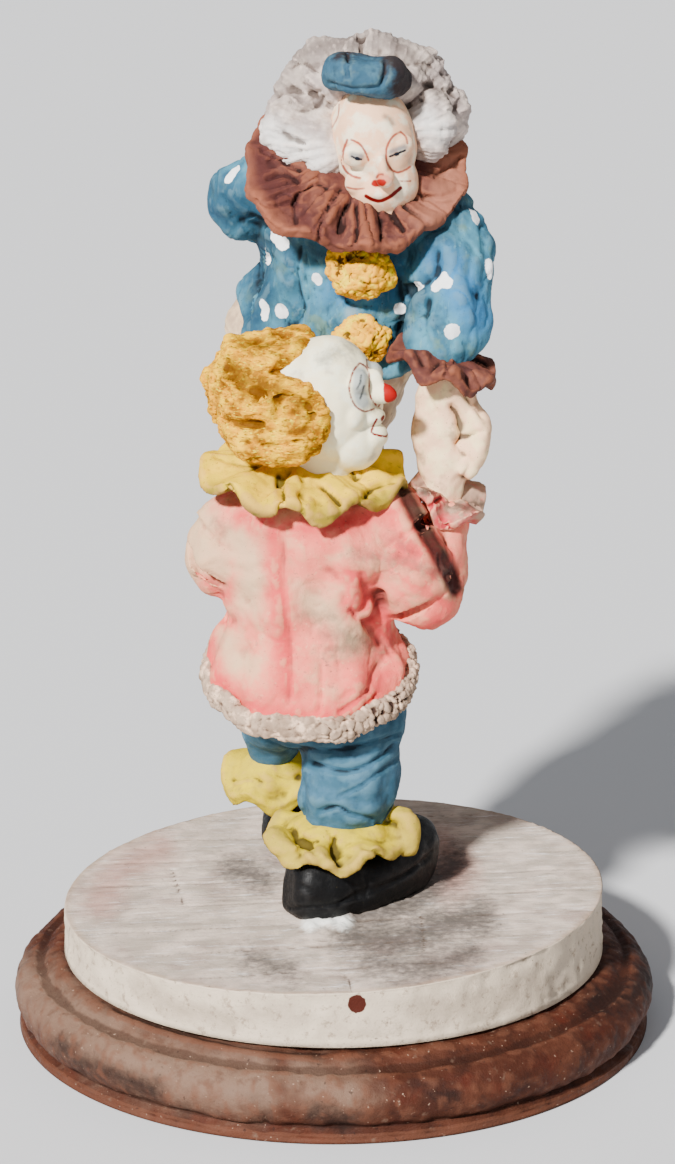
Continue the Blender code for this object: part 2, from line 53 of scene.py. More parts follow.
floorDisc = {
    "tilt": 2.4,              # degrees, rising to the right
    "edgeRound": 0.6,
    "boards": 9,
    "boardFan": 2.2,          # degrees between the first and the last seam, by pairs
    "segments": 400,
    "topRings": 56,
    "edgeRings": 4,
    "wallRings": 10,
}
floorDisc["radius"] = (discHigh.x - discLow.x) / 2 / mm
floorSlope = math.tan(math.radians(floorDisc["tilt"]))
floorTop = discHigh.z / mm - (floorDisc["radius"] - floorDisc["edgeRound"]) * floorSlope

# The photograph, 675 x 1164 pixels, and where its camera stood
photo = {
    "wide": 675, "tall": 1164, "focal": 3474.0,
    "camera": (0.61, -485.23, 206.47), "lookDown": 16.04, "sensor": 36.0,
}


def makeCamera():
    shot = bpy.data.cameras.new("photo_camera")
    shot.sensor_width = photo["sensor"]
    shot.lens = photo["focal"] * photo["sensor"] / photo["tall"]
    shot.clip_start = 0.01
    camera = bpy.data.objects.new("photo_camera", shot)
    camera.location = Vector(photo["camera"]) * mm
    camera.rotation_euler = (math.radians(90 - photo["lookDown"]), 0, 0)
    bpy.context.scene.collection.objects.link(camera)
    bpy.context.scene.camera = camera
    print("camera: where the photograph was taken from")


makeCamera()


# Forms, put together before they are melted into one skin

crumpleSize = {"limb": 3.2, "garment": 5.0}
ruffleForm = {
    "cornersPerWave": 20, "steps": 14,
    "wander": 0.35,                            # how unevenly the waves follow each other
    "oval": 0.05, "scallop": 0.03,
    "neckThickness": 0.62, "thinning": 0.24,   # of the plate's thickness, out to the rim
}


def place(point):
    return Vector((point[0], point[1], point[2] + floorTop)) * mm


def smoothBetween(stations, perSpan):
    last = len(stations) - 1
    curve = []
    for span in range(last):
        before, start = stations[max(span - 1, 0)], stations[span]
        stop, after = stations[span + 1], stations[min(span + 2, last)]
        for step in range(perSpan):
            t = step / perSpan
            curve.append([0.5 * (2 * b + (c - a) * t + (2 * a - 5 * b + 4 * c - d) * t * t
                                 + (3 * b - a - 3 * c + d) * t ** 3)
                          for a, b, c, d in zip(before, start, stop, after)])
    curve.append(list(stations[last]))
    return curve


def skin(bm, rings, closed=False):
    layers = [[bm.verts.new(place(point)) for point in ring] for ring in rings]
    count = len(rings[0])
    pairs = list(zip(layers, layers[1:]))
    if closed:
        pairs.append((layers[-1], layers[0]))
    for lower, upper in pairs:
        for index in range(count):
            beside = (index + 1) % count
            bm.faces.new((lower[index], lower[beside], upper[beside], upper[index]))
    if not closed:
        for layer in (layers[0], layers[-1]):
            middle = bm.verts.new(sum((vert.co for vert in layer), Vector()) / count)
            for index in range(count):
                bm.faces.new((layer[index], layer[(index + 1) % count], middle))


def crumpled(point, depth, size):
    return depth * noise.noise(Vector(point) / size)


def limb(bm, stations, crease=0.0, sides=36, perSpan=9, square=1.0):
    # stations are (x, y, z, half width, half height); square below 1 makes it boxy
    stations = smoothBetween(stations, perSpan)
    centres = [Vector(station[:3]) for station in stations]
    rings = []
    for index, centre in enumerate(centres):
        ahead = centres[min(index + 1, len(centres) - 1)] - centres[max(index - 1, 0)]
        ahead.normalize()
        guide = Vector((0, 0, 1)) if abs(ahead.z) < 0.8 else Vector((0, -1, 0))
        side = ahead.cross(guide).normalized()
        over = side.cross(ahead).normalized()
        wide, high = stations[index][3:5]
        ring = []
        for corner in range(sides):
            across, up = math.cos(math.tau * corner / sides), math.sin(math.tau * corner / sides)
            across = math.copysign(abs(across) ** square, across)
            up = math.copysign(abs(up) ** square, up)
            reach = side * (across * wide) + over * (up * high)
            reach *= 1 + crumpled(centre + reach, crease, crumpleSize["limb"])
            ring.append(centre + reach)
        rings.append(ring)
    skin(bm, rings)


def gloveFinger(bm, path, thick, tip=0.7):
    # a finger along a path of points, thinner to its ends
    last = len(path) - 1
    stations = []
    for index, point in enumerate(path):
        size = thick * (tip + (1 - tip) * math.sin(math.pi * (0.18 + 0.72 * index / last)))
        stations.append((*point, size, size))
    limb(bm, stations, sides=10, perSpan=4)


def garment(bm, stations, folds=0, foldDepth=0.0, crease=0.0, sides=110, perSpan=10):
    # stations are (x, y, z, half width, half depth, rise to the back)
    rings = []
    stations = smoothBetween(stations, perSpan)
    for index, (x, y, z, wide, deep, rise) in enumerate(stations):
        share = 1 - index / (len(stations) - 1)
        ring = []
        for corner in range(sides):
            angle = math.tau * corner / sides
            swell = 1 + foldDepth * share * math.sin(folds * angle + 1.3 * math.sin(angle * 2))
            across, away = math.cos(angle) * wide * swell, math.sin(angle) * deep * swell
            point = Vector((x + across, y + away, z + rise * away))
            dented = crumpled(point, crease, crumpleSize["garment"])
            ring.append(point + Vector((across, away, 0)) * dented)
        rings.append(ring)
    skin(bm, rings)


def turned(pitch=0.0, roll=0.0, yaw=0.0):
    return (Matrix.Rotation(math.radians(yaw), 3, "Z") @ Matrix.Rotation(math.radians(roll), 3, "Y")
            @ Matrix.Rotation(math.radians(pitch), 3, "X"))


def ruffle(bm, collar):
    # a pleated plate whose rim waves up and down
    centre, turn = Vector(collar["centre"]), turned(*collar["turn"])
    waves, inner, steps = collar["waves"], collar.get("inner", 0.3), ruffleForm["steps"]
    oval, scallop = ruffleForm["oval"], ruffleForm["scallop"]
    corners = waves * ruffleForm["cornersPerWave"]
    rings = []
    for corner in range(corners):
        angle = math.tau * corner / corners
        wander = ruffleForm["wander"] * math.sin(3 * angle + 0.7)
        outline = 1 + oval * math.sin(2 * angle + 1) + scallop * math.sin(waves * angle * 0.5)
        section = []
        for side in (1, -1):
            for step in (range(steps + 1) if side > 0 else range(steps, -1, -1)):
                share = inner + (1 - inner) * step / steps
                wave = collar["lift"] * share ** 1.4 * math.sin(waves * angle + wander)
                thinned = ruffleForm["neckThickness"] - ruffleForm["thinning"] * share
                body = side * collar["thick"] * thinned
                height = wave + collar.get("cup", 0) * share * share + body
                reach = collar["radius"] * share * outline
                spot = Vector((math.cos(angle) * reach, math.sin(angle) * reach, height))
                section.append(centre + turn @ spot)
        rings.append(section)
    skin(bm, rings, closed=True)


def ball(bm, centre, radii, turn=None, lumps=0.0, lumpSize=2.0, detail=4):
    made = bmesh.ops.create_icosphere(bm, subdivisions=detail, radius=1)
    turn = turn or Matrix.Identity(3)
    centre = Vector(centre)
    for vert in made["verts"]:
        spot = Vector([part * radius for part, radius in zip(vert.co, radii)])
        if lumps:
            spot += vert.co * (lumps * noise.noise((spot + centre) / lumpSize))
        vert.co = place(centre + turn @ spot)


# A casting under work: its points in mm, pressed and painted, then handed over as a piece

modelling = {
    "layerShift": 7.3, "wrinkleShift": 31.7,         # so that no two noises match
    "creaseWander": 0.35, "wanderSize": 1.6,
    "creaseFades": (-0.15, 0.25),                    # as the surface turns from the camera
    "soleGap": 0.12,
    "ridgeRounds": 5, "hollowRounds": 26,            # how widely a ridge's and a hollow's surroundings reach
    "quickVoxel": 1.4,
}
pleating = {
    "uneven": 0.3, "bend": 0.12, "reach": (0.78, 1.05), "depth": (0.5, 1.2), "fadeIn": 0.15, "fadeOut": 0.08,
}
# How marks are carried from the photograph: distances in mm, cells in its pixels
marking = {
    "far": 9.0,                                      # as far as a distance to a mark is followed
    "cell": 3, "cellRow": 10000,                     # a cell's size, and more than a row has cells
    "turnsAway": (-0.45, -0.15), "liesBehind": (3.0, 5.0),
    "hiddenPush": 12,                                # what a hidden point is moved away from a stroke
    "hiddenPixels": 99,                              # and from a dot, in pixels
}


def softNoise(points, size, shift=0.0):
    return np.array([noise.noise(point) for point in (points / size + shift).tolist()])


def eased(values, low, high):
    part = np.clip((values - low) / (high - low), 0, 1)
    return part * part * (3 - 2 * part)


def groove(away, half):
    # 1 in the middle of a groove, soft to its sides
    return np.exp(-(away / half) ** 2)


def crackled(points, width):
    # 0 in the cracks of a crazed surface, 1 between them
    cells = np.array([noise.voronoi(point)[0][:2] for point in points.tolist()])
    return np.clip((cells[:, 1] - cells[:, 0]) / width, 0, 1)


def lineDistance(spots, line):
    nearest = np.full(len(spots), np.inf)
    line = np.array(line, float).reshape(-1, 2)
    for start, stop in zip(line, line[1:] if len(line) > 1 else line):
        along = stop - start
        share = np.clip((spots - start) @ along / max(along @ along, 1e-9), 0, 1)
        away = np.linalg.norm(spots - start - share[:, None] * along, axis=1)
        nearest = np.minimum(nearest, away)
    return nearest


def photoSpots(points):
    # the pixel of the photograph where each point shows, and how many mm a pixel is there
    down = math.radians(photo["lookDown"])
    fromCamera = points + (0, 0, floorTop) - np.array(photo["camera"])
    depth = fromCamera @ (0, math.cos(down), -math.sin(down))
    height = fromCamera @ (0, math.sin(down), math.cos(down))
    pixel = depth / photo["focal"]
    across = photo["wide"] / 2 + fromCamera[:, 0] / pixel
    return np.column_stack((across, photo["tall"] / 2 - height / pixel)), pixel


class Casting:
    def __init__(self, name, mesh):
        self.name, self.mesh = name, mesh
        pairs = np.empty(len(mesh.edges) * 2, np.int32)
        mesh.edges.foreach_get("vertices", pairs)
        self.edges = pairs.reshape(-1, 2)
        flat = np.empty(len(mesh.vertices) * 3, np.float32)
        mesh.vertices.foreach_get("co", flat)
        self.points = flat.reshape(-1, 3).astype(float) / mm - (0, 0, floorTop)
        self.look()

    def look(self):
        flat = np.empty(len(self.mesh.vertices) * 3, np.float32)
        self.mesh.vertices.foreach_get("normal", flat)
        self.normals = flat.reshape(-1, 3).astype(float)
        self.pixels, self.pixelSize = photoSpots(self.points)
        toCamera = np.array(photo["camera"]) - self.points - (0, 0, floorTop)
        self.away = np.linalg.norm(toCamera, axis=1)
        self.facing = (self.normals * toCamera).sum(axis=1) / self.away

    def settle(self):
        flat = ((self.points + (0, 0, floorTop)) * mm).astype(np.float32).ravel()
        self.mesh.vertices.foreach_set("co", flat)
        self.mesh.update()
        self.look()

    def move(self, amount):
        self.points = self.points + self.normals * amount[:, None]
        self.settle()

    def average(self, values, rounds):
        start, stop, count = self.edges[:, 0], self.edges[:, 1], len(self.points)
        weight = 1 + np.bincount(start, minlength=count) + np.bincount(stop, minlength=count)
        values = values.copy()
        for turn in range(rounds):
            for column in range(values.shape[1]):
                part = values[:, column]
                total = part + np.bincount(start, part[stop], count) + np.bincount(stop, part[start], count)
                values[:, column] = total / weight
        return values

    def relief(self, rounds):
        # how far a point stands above its surroundings, in mm
        return ((self.points - self.average(self.points, rounds)) * self.normals).sum(axis=1)

    def handPressed(self, *layers):
        # uneven modelling: layers of (depth, size of the lumps)
        push = np.zeros(len(self.points))
        for index, (depth, size) in enumerate(layers):
            push += depth * softNoise(self.points, size, modelling["layerShift"] * index)
        self.move(push)

    def wrinkle(self, depth, size, stretch=(1, 1, 1), sharp=0.12):
        # narrow creases where a soft noise passes through nought
        lumps = softNoise(self.points * stretch, size, modelling["wrinkleShift"])
        self.move(-depth * groove(lumps, sharp))

    def press(self, creases):
        # creases as the photograph shows them: (depth, half width, pixels), a negative depth raised
        push = np.zeros(len(self.points))
        for depth, half, line in creases:
            wander = 1 + modelling["creaseWander"] * softNoise(self.points, modelling["wanderSize"], depth)
            line = smoothBetween(line, 4) if len(line) > 2 else line
            away = lineDistance(self.pixels, line) * self.pixelSize
            push -= depth * wander * groove(away, half)
        self.move(push * eased(self.facing, *modelling["creaseFades"]))

    def around(self, collar):
        # angle and share of the radius of each point, as a ruffle's own plate has them
        turn = np.array(turned(*collar["turn"]))
        local = (self.points - np.array(collar["centre"])) @ turn
        reach = np.hypot(local[:, 0], local[:, 1])
        return np.arctan2(local[:, 1], local[:, 0]), reach / collar["radius"]

    def pleat(self, collar, grooves, depth, half, seed, start=0.32):
        # sharp grooves that run out from the neck, at uneven angles
        angle, share = self.around(collar)
        chance = np.random.default_rng(seed)
        uneven, bent, fadeOut = pleating["uneven"], pleating["bend"], pleating["fadeOut"]
        begun = eased(share, start, start + pleating["fadeIn"])
        push = np.zeros(len(self.points))
        for index in range(grooves):
            at = math.tau * (index + chance.uniform(-uneven, uneven)) / grooves
            bend = chance.uniform(-bent, bent)
            reach = chance.uniform(*pleating["reach"])
            gap = np.abs((angle - at - bend * share + math.pi) % math.tau - math.pi)
            away = gap * share * collar["radius"]
            fade = begun * (1 - eased(share, reach - fadeOut, reach + fadeOut))
            push -= depth * chance.uniform(*pleating["depth"]) * fade * groove(away, half)
        self.move(push)

    def mark(self, name, values):
        layer = self.mesh.attributes.new(name, "FLOAT", "POINT")
        layer.data.foreach_set("value", values.astype(np.float32))

    def shown(self):
        # 1 where the photograph shows the surface, 0 on the far side and behind another part of the piece
        cells = np.floor(self.pixels / marking["cell"]).astype(int)
        numbers = cells[:, 0] * marking["cellRow"] + cells[:, 1]
        groups, member = np.unique(numbers, return_inverse=True)
        front = np.full(len(groups), np.inf)
        np.minimum.at(front, member, self.away)
        behind = self.away - front[member]
        return eased(self.facing, *marking["turnsAway"]) * (1 - eased(behind, *marking["liesBehind"]))

    def drawn(self, name, strokes, pixels=None):
        # distance in mm to the nearest stroke, less its half width; strokes are (half width, pixels)
        nearest = np.full(len(self.points), marking["far"])
        spots = self.pixels if pixels is None else pixels
        for half, line in strokes:
            line = smoothBetween(line, 6) if len(line) > 2 else line
            nearest = np.minimum(nearest, lineDistance(spots, line) * self.pixelSize - half)
        if pixels is None:
            nearest += marking["hiddenPush"] * (1 - self.shown())
        self.mark(name, nearest)

    def drawnEach(self, marks, *names):
        for name in names:
            self.drawn(name, marks[name])

    def dotted(self, strokes):
        # the same for dots, measured on the surface itself, so they stay round where it turns away
        nearest = np.full(len(self.points), marking["far"])
        hidden = self.shown() <= 0.5
        for half, line in strokes:
            line = np.array(line, float)
            steps = [np.linspace(start, stop, 6) for start, stop in zip(line, line[1:])]
            for spot in np.vstack(steps or [line]):
                apart = np.linalg.norm(self.pixels - spot, axis=1) + marking["hiddenPixels"] * hidden
                middle = self.points[np.argmin(apart)]
                nearest = np.minimum(nearest, np.linalg.norm(self.points - middle, axis=1) - half)
        return nearest

    def finish(self, material, slot="painted_casting", node="clown_pair", clamp=True):
        if clamp:        # soles lie flat on the sloping floor
            ground = self.points[:, 0] * floorSlope + modelling["soleGap"]
            self.points[:, 2] = np.maximum(self.points[:, 2], ground)
            self.settle()
        self.mark("ridge", self.relief(modelling["ridgeRounds"]))
        # how deep a point lies in a hollow and how far it faces down: the paints lay dirt and painted shade
        # into hollows, and painted shade on undersides
        self.mark("hollow", -self.relief(modelling["hollowRounds"]))
        self.mark("under", -self.normals[:, 2])
        self.mesh.shade_smooth()
        self.mesh.materials.clear()
        self.mesh.materials.append(material)
        piece = bpy.data.objects.new(self.name, self.mesh)
        bpy.context.scene.collection.objects.link(piece)
        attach(piece, "root")
        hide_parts(node)
        triangles = sum(len(face.vertices) - 2 for face in self.mesh.polygons)
        print(f"{self.name}: {triangles} triangles")


def fuse(name, bm, voxel, rounds=4):
    # melts the overlapping forms into one skin
    bmesh.ops.recalc_face_normals(bm, faces=bm.faces)
    rough = bpy.data.meshes.new(name)
    bm.to_mesh(rough)
    bm.free()
    form = bpy.data.objects.new(name, rough)
    bpy.context.scene.collection.objects.link(form)
    melt = form.modifiers.new("melt", "REMESH")
    melt.mode = "VOXEL"
    melt.voxel_size = voxel * mm * 1
    ease = form.modifiers.new("ease", "SMOOTH")
    ease.factor = 0.5
    ease.iterations = rounds
    graph = bpy.context.evaluated_depsgraph_get()
    mesh = bpy.data.meshes.new_from_object(form.evaluated_get(graph))
    bpy.data.objects.remove(form)
    return Casting(name, mesh)


# Paint

paintMixing = {
    "litWhite": 3.8, "highlightRoll": 1.15, "rollPower": 1.75, "leastRoll": 0.1,
    "washOut": 0.10, "whitest": 0.9,
}


def rgb(red, green, blue):
    # a paint by the colour it shows in the studio's light, 0 to 255
    parts = []
    for part in (red / 255, green / 255, blue / 255):
        part = part / 12.92 if part < 0.04 else ((part + 0.055) / 1.055) ** 2.4     # the screen's own curve
        rolled = 1 - paintMixing["highlightRoll"] * part ** paintMixing["rollPower"]
        parts.append(part / max(rolled, paintMixing["leastRoll"]) / paintMixing["litWhite"])
    strongest = max(parts)
    washed = [part * (part / strongest) ** paintMixing["washOut"] for part in parts]
    return tuple(min(part, paintMixing["whitest"]) for part in washed)


class Finish:
    def __init__(self, name, colour):
        self.material = bpy.data.materials.new(name)
        self.material.use_nodes = True
        self.tree = self.material.node_tree
        self.shader = self.tree.nodes["Principled BSDF"]
        self.place = self.tree.nodes.new("ShaderNodeTexCoord").outputs["Object"]
        self.colour = colour

    def wire(self, value, socket):
        if isinstance(value, bpy.types.NodeSocket):
            self.tree.links.new(value, socket)
        elif isinstance(value, tuple) and socket.type == "RGBA":
            socket.default_value = (*value, 1)
        else:
            socket.default_value = value

    def noise(self, size, detail=3.0, rough=0.55, stretch=None, shift=0.0):
        where = self.place
        if stretch or shift:
            mapping = self.tree.nodes.new("ShaderNodeMapping")
            self.wire(where, mapping.inputs["Vector"])
            mapping.inputs["Scale"].default_value = stretch or (1, 1, 1)
            mapping.inputs["Location"].default_value = (shift, shift * 0.7, shift * 0.4)
            where = mapping.outputs["Vector"]
        node = self.tree.nodes.new("ShaderNodeTexNoise")
        self.wire(where, node.inputs["Vector"])
        node.inputs["Scale"].default_value = 1 / (size * mm)
        node.inputs["Detail"].default_value = detail
        node.inputs["Roughness"].default_value = rough
        return node.outputs["Fac"]

    def read(self, name):
        node = self.tree.nodes.new("ShaderNodeAttribute")
        node.attribute_name = name
        return node.outputs["Fac"]

    def between(self, value, low, high, lowest=0.0, highest=1.0):
        node = self.tree.nodes.new("ShaderNodeMapRange")
        node.interpolation_type = "SMOOTHSTEP"
        self.wire(value, node.inputs["Value"])
        node.inputs["From Min"].default_value = low
        node.inputs["From Max"].default_value = high
        node.inputs["To Min"].default_value = lowest
        node.inputs["To Max"].default_value = highest
        return node.outputs["Result"]

    def sum(self, how, first, second):
        node = self.tree.nodes.new("ShaderNodeMath")
        node.operation = how
        self.wire(first, node.inputs[0])
        self.wire(second, node.inputs[1])
        return node.outputs["Value"]

    def coat(self, amount, colour):
        # paints a colour over what is there; a Mix node's colours are its sockets 6 and 7, and come out at 2
        node = self.tree.nodes.new("ShaderNodeMix")
        node.data_type = "RGBA"
        self.wire(amount, node.inputs[0])
        self.wire(self.colour, node.inputs[6])
        self.wire(colour, node.inputs[7])
        self.colour = node.outputs[2]

    def patches(self, colour, size, low, high, amount=1.0, **more):
        self.coat(self.between(self.noise(size, **more), low, high, 0, amount), colour)

    def broken(self, name, ragged, grain):
        # what a mark holds, made uneven by a noise of half the ragged width to either side
        uneven = self.sum("MULTIPLY_ADD", grain, ragged)
        uneven.node.inputs[2].default_value = -ragged / 2
        return self.sum("ADD", self.read(name), uneven)

    def dirtAndShade(self, colour, low, high, amount=1.0, ragged=0.1):
        # darker paint in the hollows: dirt, and painted shade in creases and recesses
        deep = self.broken("hollow", ragged, self.noise(0.7, 4, 0.7, shift=3))
        self.coat(self.between(deep, low, high, 0, amount), colour)

    def worn(self, colour, low, high, amount=1.0, ragged=0.03):
        # paint is rubbed from the ridges
        raised = self.broken("ridge", ragged, self.noise(1.1, 4, 0.7, shift=9))
        self.coat(self.between(raised, low, high, 0, amount), colour)

    def stroke(self, name, colour, soft=0.08, ragged=0.25, amount=1.0, size=0.6):
        # a drawn mark, its edge ragged as a brush leaves it
        away = self.broken(name, ragged, self.noise(size, 3, 0.6, shift=5))
        self.coat(self.between(away, -soft, soft, amount, 0), colour)

    def done(self, rough=(0.62, 0.85), grain=0.3, bump=0.12, shine=0.16):
        self.shader.inputs["Specular IOR Level"].default_value = shine
        self.wire(self.colour, self.shader.inputs["Base Color"])
        spread = self.between(self.noise(1.4, 3, 0.6, shift=1), 0.3, 0.7, *rough)
        self.wire(spread, self.shader.inputs["Roughness"])
        node = self.tree.nodes.new("ShaderNodeBump")
        node.inputs["Distance"].default_value = bump * mm
        node.inputs["Strength"].default_value = 0.7
        self.wire(self.noise(grain, 5, 0.7), node.inputs["Height"])
        self.wire(node.outputs["Normal"], self.shader.inputs["Normal"])
        return self.material


# The small clown

smallLegs = {
    "nearLeg": [(0.4, -5.0, 5.0, 4.2, 4.2), (0.7, -4.8, 10.5, 4.9, 4.9), (1.3, -4.2, 13.5, 6.3, 6.3),
                (2.5, -3.8, 18.5, 7.2, 7.2), (2.6, -3.4, 24.5, 7.5, 7.6), (2.2, -2.6, 33.0, 8.6, 8.4)],
    "farLeg": [(-7.0, 17.4, 6.0, 2.2, 2.2), (-8.8, 15.8, 11.0, 3.1, 3.1), (-9.2, 14.2, 17.0, 4.0, 3.6),
               (-8.6, 10.5, 22.8, 5.4, 4.8), (-7.4, 5.0, 28.0, 6.8, 6.2), (-5.8, -0.5, 33.5, 8.0, 8.0)],
    "seat": ((-2.2, -2.4, 29.6), (11.4, 8.0, 6.6)),
    "creases": [
        (0.6, 0.45, [(396, 745), (372, 764), (345, 772), (312, 764)]),
        (0.4, 0.30, [(400, 758), (378, 774), (362, 786), (340, 796)]),
        (-0.5, 1.4, [(325, 800), (362, 808), (392, 802)]),
        (0.5, 0.35, [(322, 810), (338, 806), (352, 814), (372, 818)]),
        (0.8, 0.40, [(398, 836), (384, 842), (374, 850), (366, 846)]),
        (0.5, 0.40, [(378, 824), (384, 836), (376, 850)]),
        (0.4, 0.4, [(306, 775), (304, 800), (302, 826)]),
        (-0.5, 1.0, [(300, 768), (312, 790), (316, 820)]),
        (0.4, 0.3, [(262, 740), (300, 748), (340, 750), (400, 735)]),
    ],
}


def smallBlueTrousers():
    bm = bmesh.new()
    limb(bm, smallLegs["nearLeg"], crease=0.10)
    limb(bm, smallLegs["farLeg"], crease=0.08)
    ball(bm, *smallLegs["seat"])
    cast = fuse("small_trousers", bm, 0.38, rounds=6)
    cast.handPressed((0.6, 7.0), (0.14, 2.6), (0.05, 0.8))
    cast.press(smallLegs["creases"])
    paint = Finish("blue_trouser_paint", rgb(98, 150, 170))
    paint.patches(rgb(126, 172, 190), 3.4, 0.38, 0.70, 0.8, stretch=(1, 1, 1.6))
    paint.patches(rgb(70, 114, 140), 2.2, 0.50, 0.78, 0.7, shift=2)
    paint.patches(rgb(150, 176, 176), 5.0, 0.55, 0.78, 0.5, shift=4)
    paint.dirtAndShade(rgb(34, 52, 66), 0.08, 0.40, 0.9)
    paint.worn(rgb(160, 192, 200), 0.03, 0.10, 0.35)
    paint.patches(rgb(40, 52, 60), 0.35, 0.66, 0.74, 0.5, shift=8)
    cast.finish(paint.done(grain=0.22, bump=0.12))


smallShoes = {
    "near": [(-6.5, -11.3, 4.3, 2.4, 3.4), (-5.4, -10.9, 4.2, 4.4, 4.5), (-1.6, -9.4, 4.1, 5.1, 5.1),
             (3.0, -6.6, 3.9, 5.2, 4.9), (7.0, -2.8, 4.2, 5.3, 5.1), (10.0, 1.2, 4.9, 5.2, 5.7),
             (11.9, 4.8, 4.9, 4.2, 5.1), (12.8, 7.0, 4.6, 1.8, 2.8)],
    "far": [(-7.0, 11.6, 2.8, 1.0, 1.6), (-6.9, 13.2, 3.4, 3.8, 3.9), (-6.6, 17.5, 3.5, 4.4, 4.3),
            (-6.1, 22.0, 3.9, 4.6, 4.7), (-5.8, 26.0, 3.9, 3.8, 4.2), (-5.6, 28.4, 3.6, 1.1, 1.8)],
    "square": 0.72,
    "creases": [
        (0.30, 0.25, [(290, 908), (330, 905), (372, 892), (405, 876), (432, 852)]),
        (0.30, 0.22, [(340, 904), (360, 892), (400, 878), (430, 858)]),
        (0.25, 0.25, [(345, 878), (352, 884), (358, 896)]), (0.2, 0.3, [(300, 885), (312, 892)]),
        (0.25, 0.2, [(364, 874), (368, 886), (366, 898)]),
    ],
}


def blackShoePaint(name):
    paint = Finish(name, rgb(16, 17, 20))
    paint.patches(rgb(30, 31, 34), 1.6, 0.5, 0.75, 0.6)
    paint.patches(rgb(84, 78, 60), 3.0, 0.64, 0.8, 0.35, shift=3)
    paint.worn(rgb(70, 68, 68), 0.04, 0.11, 0.4)
    paint.patches(rgb(180, 170, 140), 0.3, 0.72, 0.78, 0.7, shift=6)
    return paint.done(rough=(0.42, 0.62), grain=0.5, bump=0.14, shine=0.2)


def smallBlackShoes():
    bm = bmesh.new()
    limb(bm, smallShoes["near"], crease=0.05, square=smallShoes["square"])
    limb(bm, smallShoes["far"], crease=0.05)
    cast = fuse("small_shoes", bm, 0.38)
    cast.handPressed((0.3, 4.0), (0.10, 1.4), (0.03, 0.6))
    cast.press(smallShoes["creases"])
    cast.finish(blackShoePaint("small_shoe_black"))


smallCuffs = {
    "near": {"centre": (0.5, -5.2, 10.9), "radius": 10.7, "thick": 2.1, "waves": 7, "lift": 1.2,
             "turn": (4, -3, 34), "cup": -0.5},
    "nearPuff": ((0.9, -4.8, 11.0), (7.6, 6.8, 3.2)),
    "far": {"centre": (-8.6, 15.2, 13.2), "radius": 7.8, "thick": 3.4, "waves": 5, "lift": 1.2,
            "turn": (27, -6, 0), "cup": -0.4},
    "farPuff": ((-8.6, 14.6, 13.2), (6.6, 4.8, 5.0)),
    "leftRoll": [(-5.0, -12.2, 10.2, 1.2, 1.2), (-7.4, -11.0, 10.6, 1.7, 1.6), (-8.6, -8.8, 11.2, 1.8, 1.7),
                 (-7.6, -6.8, 11.6, 1.3, 1.3)],
    "tab": [(8.6, -5.6, 14.0, 1.4, 1.2), (10.4, -6.4, 13.6, 1.5, 1.4), (11.2, -7.0, 11.4, 1.4, 1.5),
            (11.1, -7.2, 9.0, 1.5, 1.4), (11.0, -7.2, 7.8, 1.0, 0.8)],
    "creases": [
        (1.0, 0.55, [(336, 838), (335, 850), (339, 864)]),
        (0.7, 0.45, [(364, 848), (374, 850), (382, 862)]),
        (0.8, 0.5, [(294, 830), (300, 842), (312, 850), (322, 862)]),
        (0.45, 0.35, [(300, 838), (308, 842), (318, 840)]), (0.4, 0.3, [(330, 832), (334, 842)]),
        (-0.5, 0.7, [(306, 852), (320, 862), (336, 866)]),
        (-0.5, 0.7, [(346, 852), (362, 850), (380, 858)]),
        (0.5, 0.4, [(232, 780), (250, 776), (262, 784)]),
        (0.5, 0.5, [(270, 772), (288, 780), (300, 776)]),
    ],
}


def yellowCuffs():
    bm = bmesh.new()
    ruffle(bm, smallCuffs["near"])
    ruffle(bm, smallCuffs["far"])
    ball(bm, *smallCuffs["farPuff"], lumps=1.0, lumpSize=3.5)
    ball(bm, *smallCuffs["nearPuff"])
    limb(bm, smallCuffs["leftRoll"])
    limb(bm, smallCuffs["tab"])
    cast = fuse("small_ankle_cuffs", bm, 0.34, rounds=6)
    cast.handPressed((0.5, 3.6), (0.16, 1.4), (0.07, 0.5))
    cast.press(smallCuffs["creases"])
    share = cast.around(smallCuffs["near"])[1]
    onCuff = np.where(share < 1.3, share, 0)
    cast.mark("rim", onCuff + 0.06 * softNoise(cast.points, 1.6))
    paint = Finish("pale_yellow_paint", rgb(220, 213, 74))
    paint.patches(rgb(224, 218, 36), 2.2, 0.42, 0.66, 0.85)
    paint.patches(rgb(204, 190, 122), 1.8, 0.52, 0.76, 0.65, shift=2)
    paint.coat(paint.between(paint.read("rim"), 0.76, 0.92, 0, 0.7), rgb(212, 202, 122))
    paint.dirtAndShade(rgb(96, 78, 44), 0.06, 0.42, 0.9)
    paint.worn(rgb(220, 206, 150), 0.04, 0.12, 0.35)
    paint.patches(rgb(120, 98, 70), 0.4, 0.64, 0.74, 0.5, shift=8)
    # painted shade on the undersides of the cuffs
    paint.coat(paint.between(paint.read("under"), 0.25, 0.95, 0, 0.45), rgb(140, 122, 50))
    cast.finish(paint.done(grain=0.25, bump=0.14))


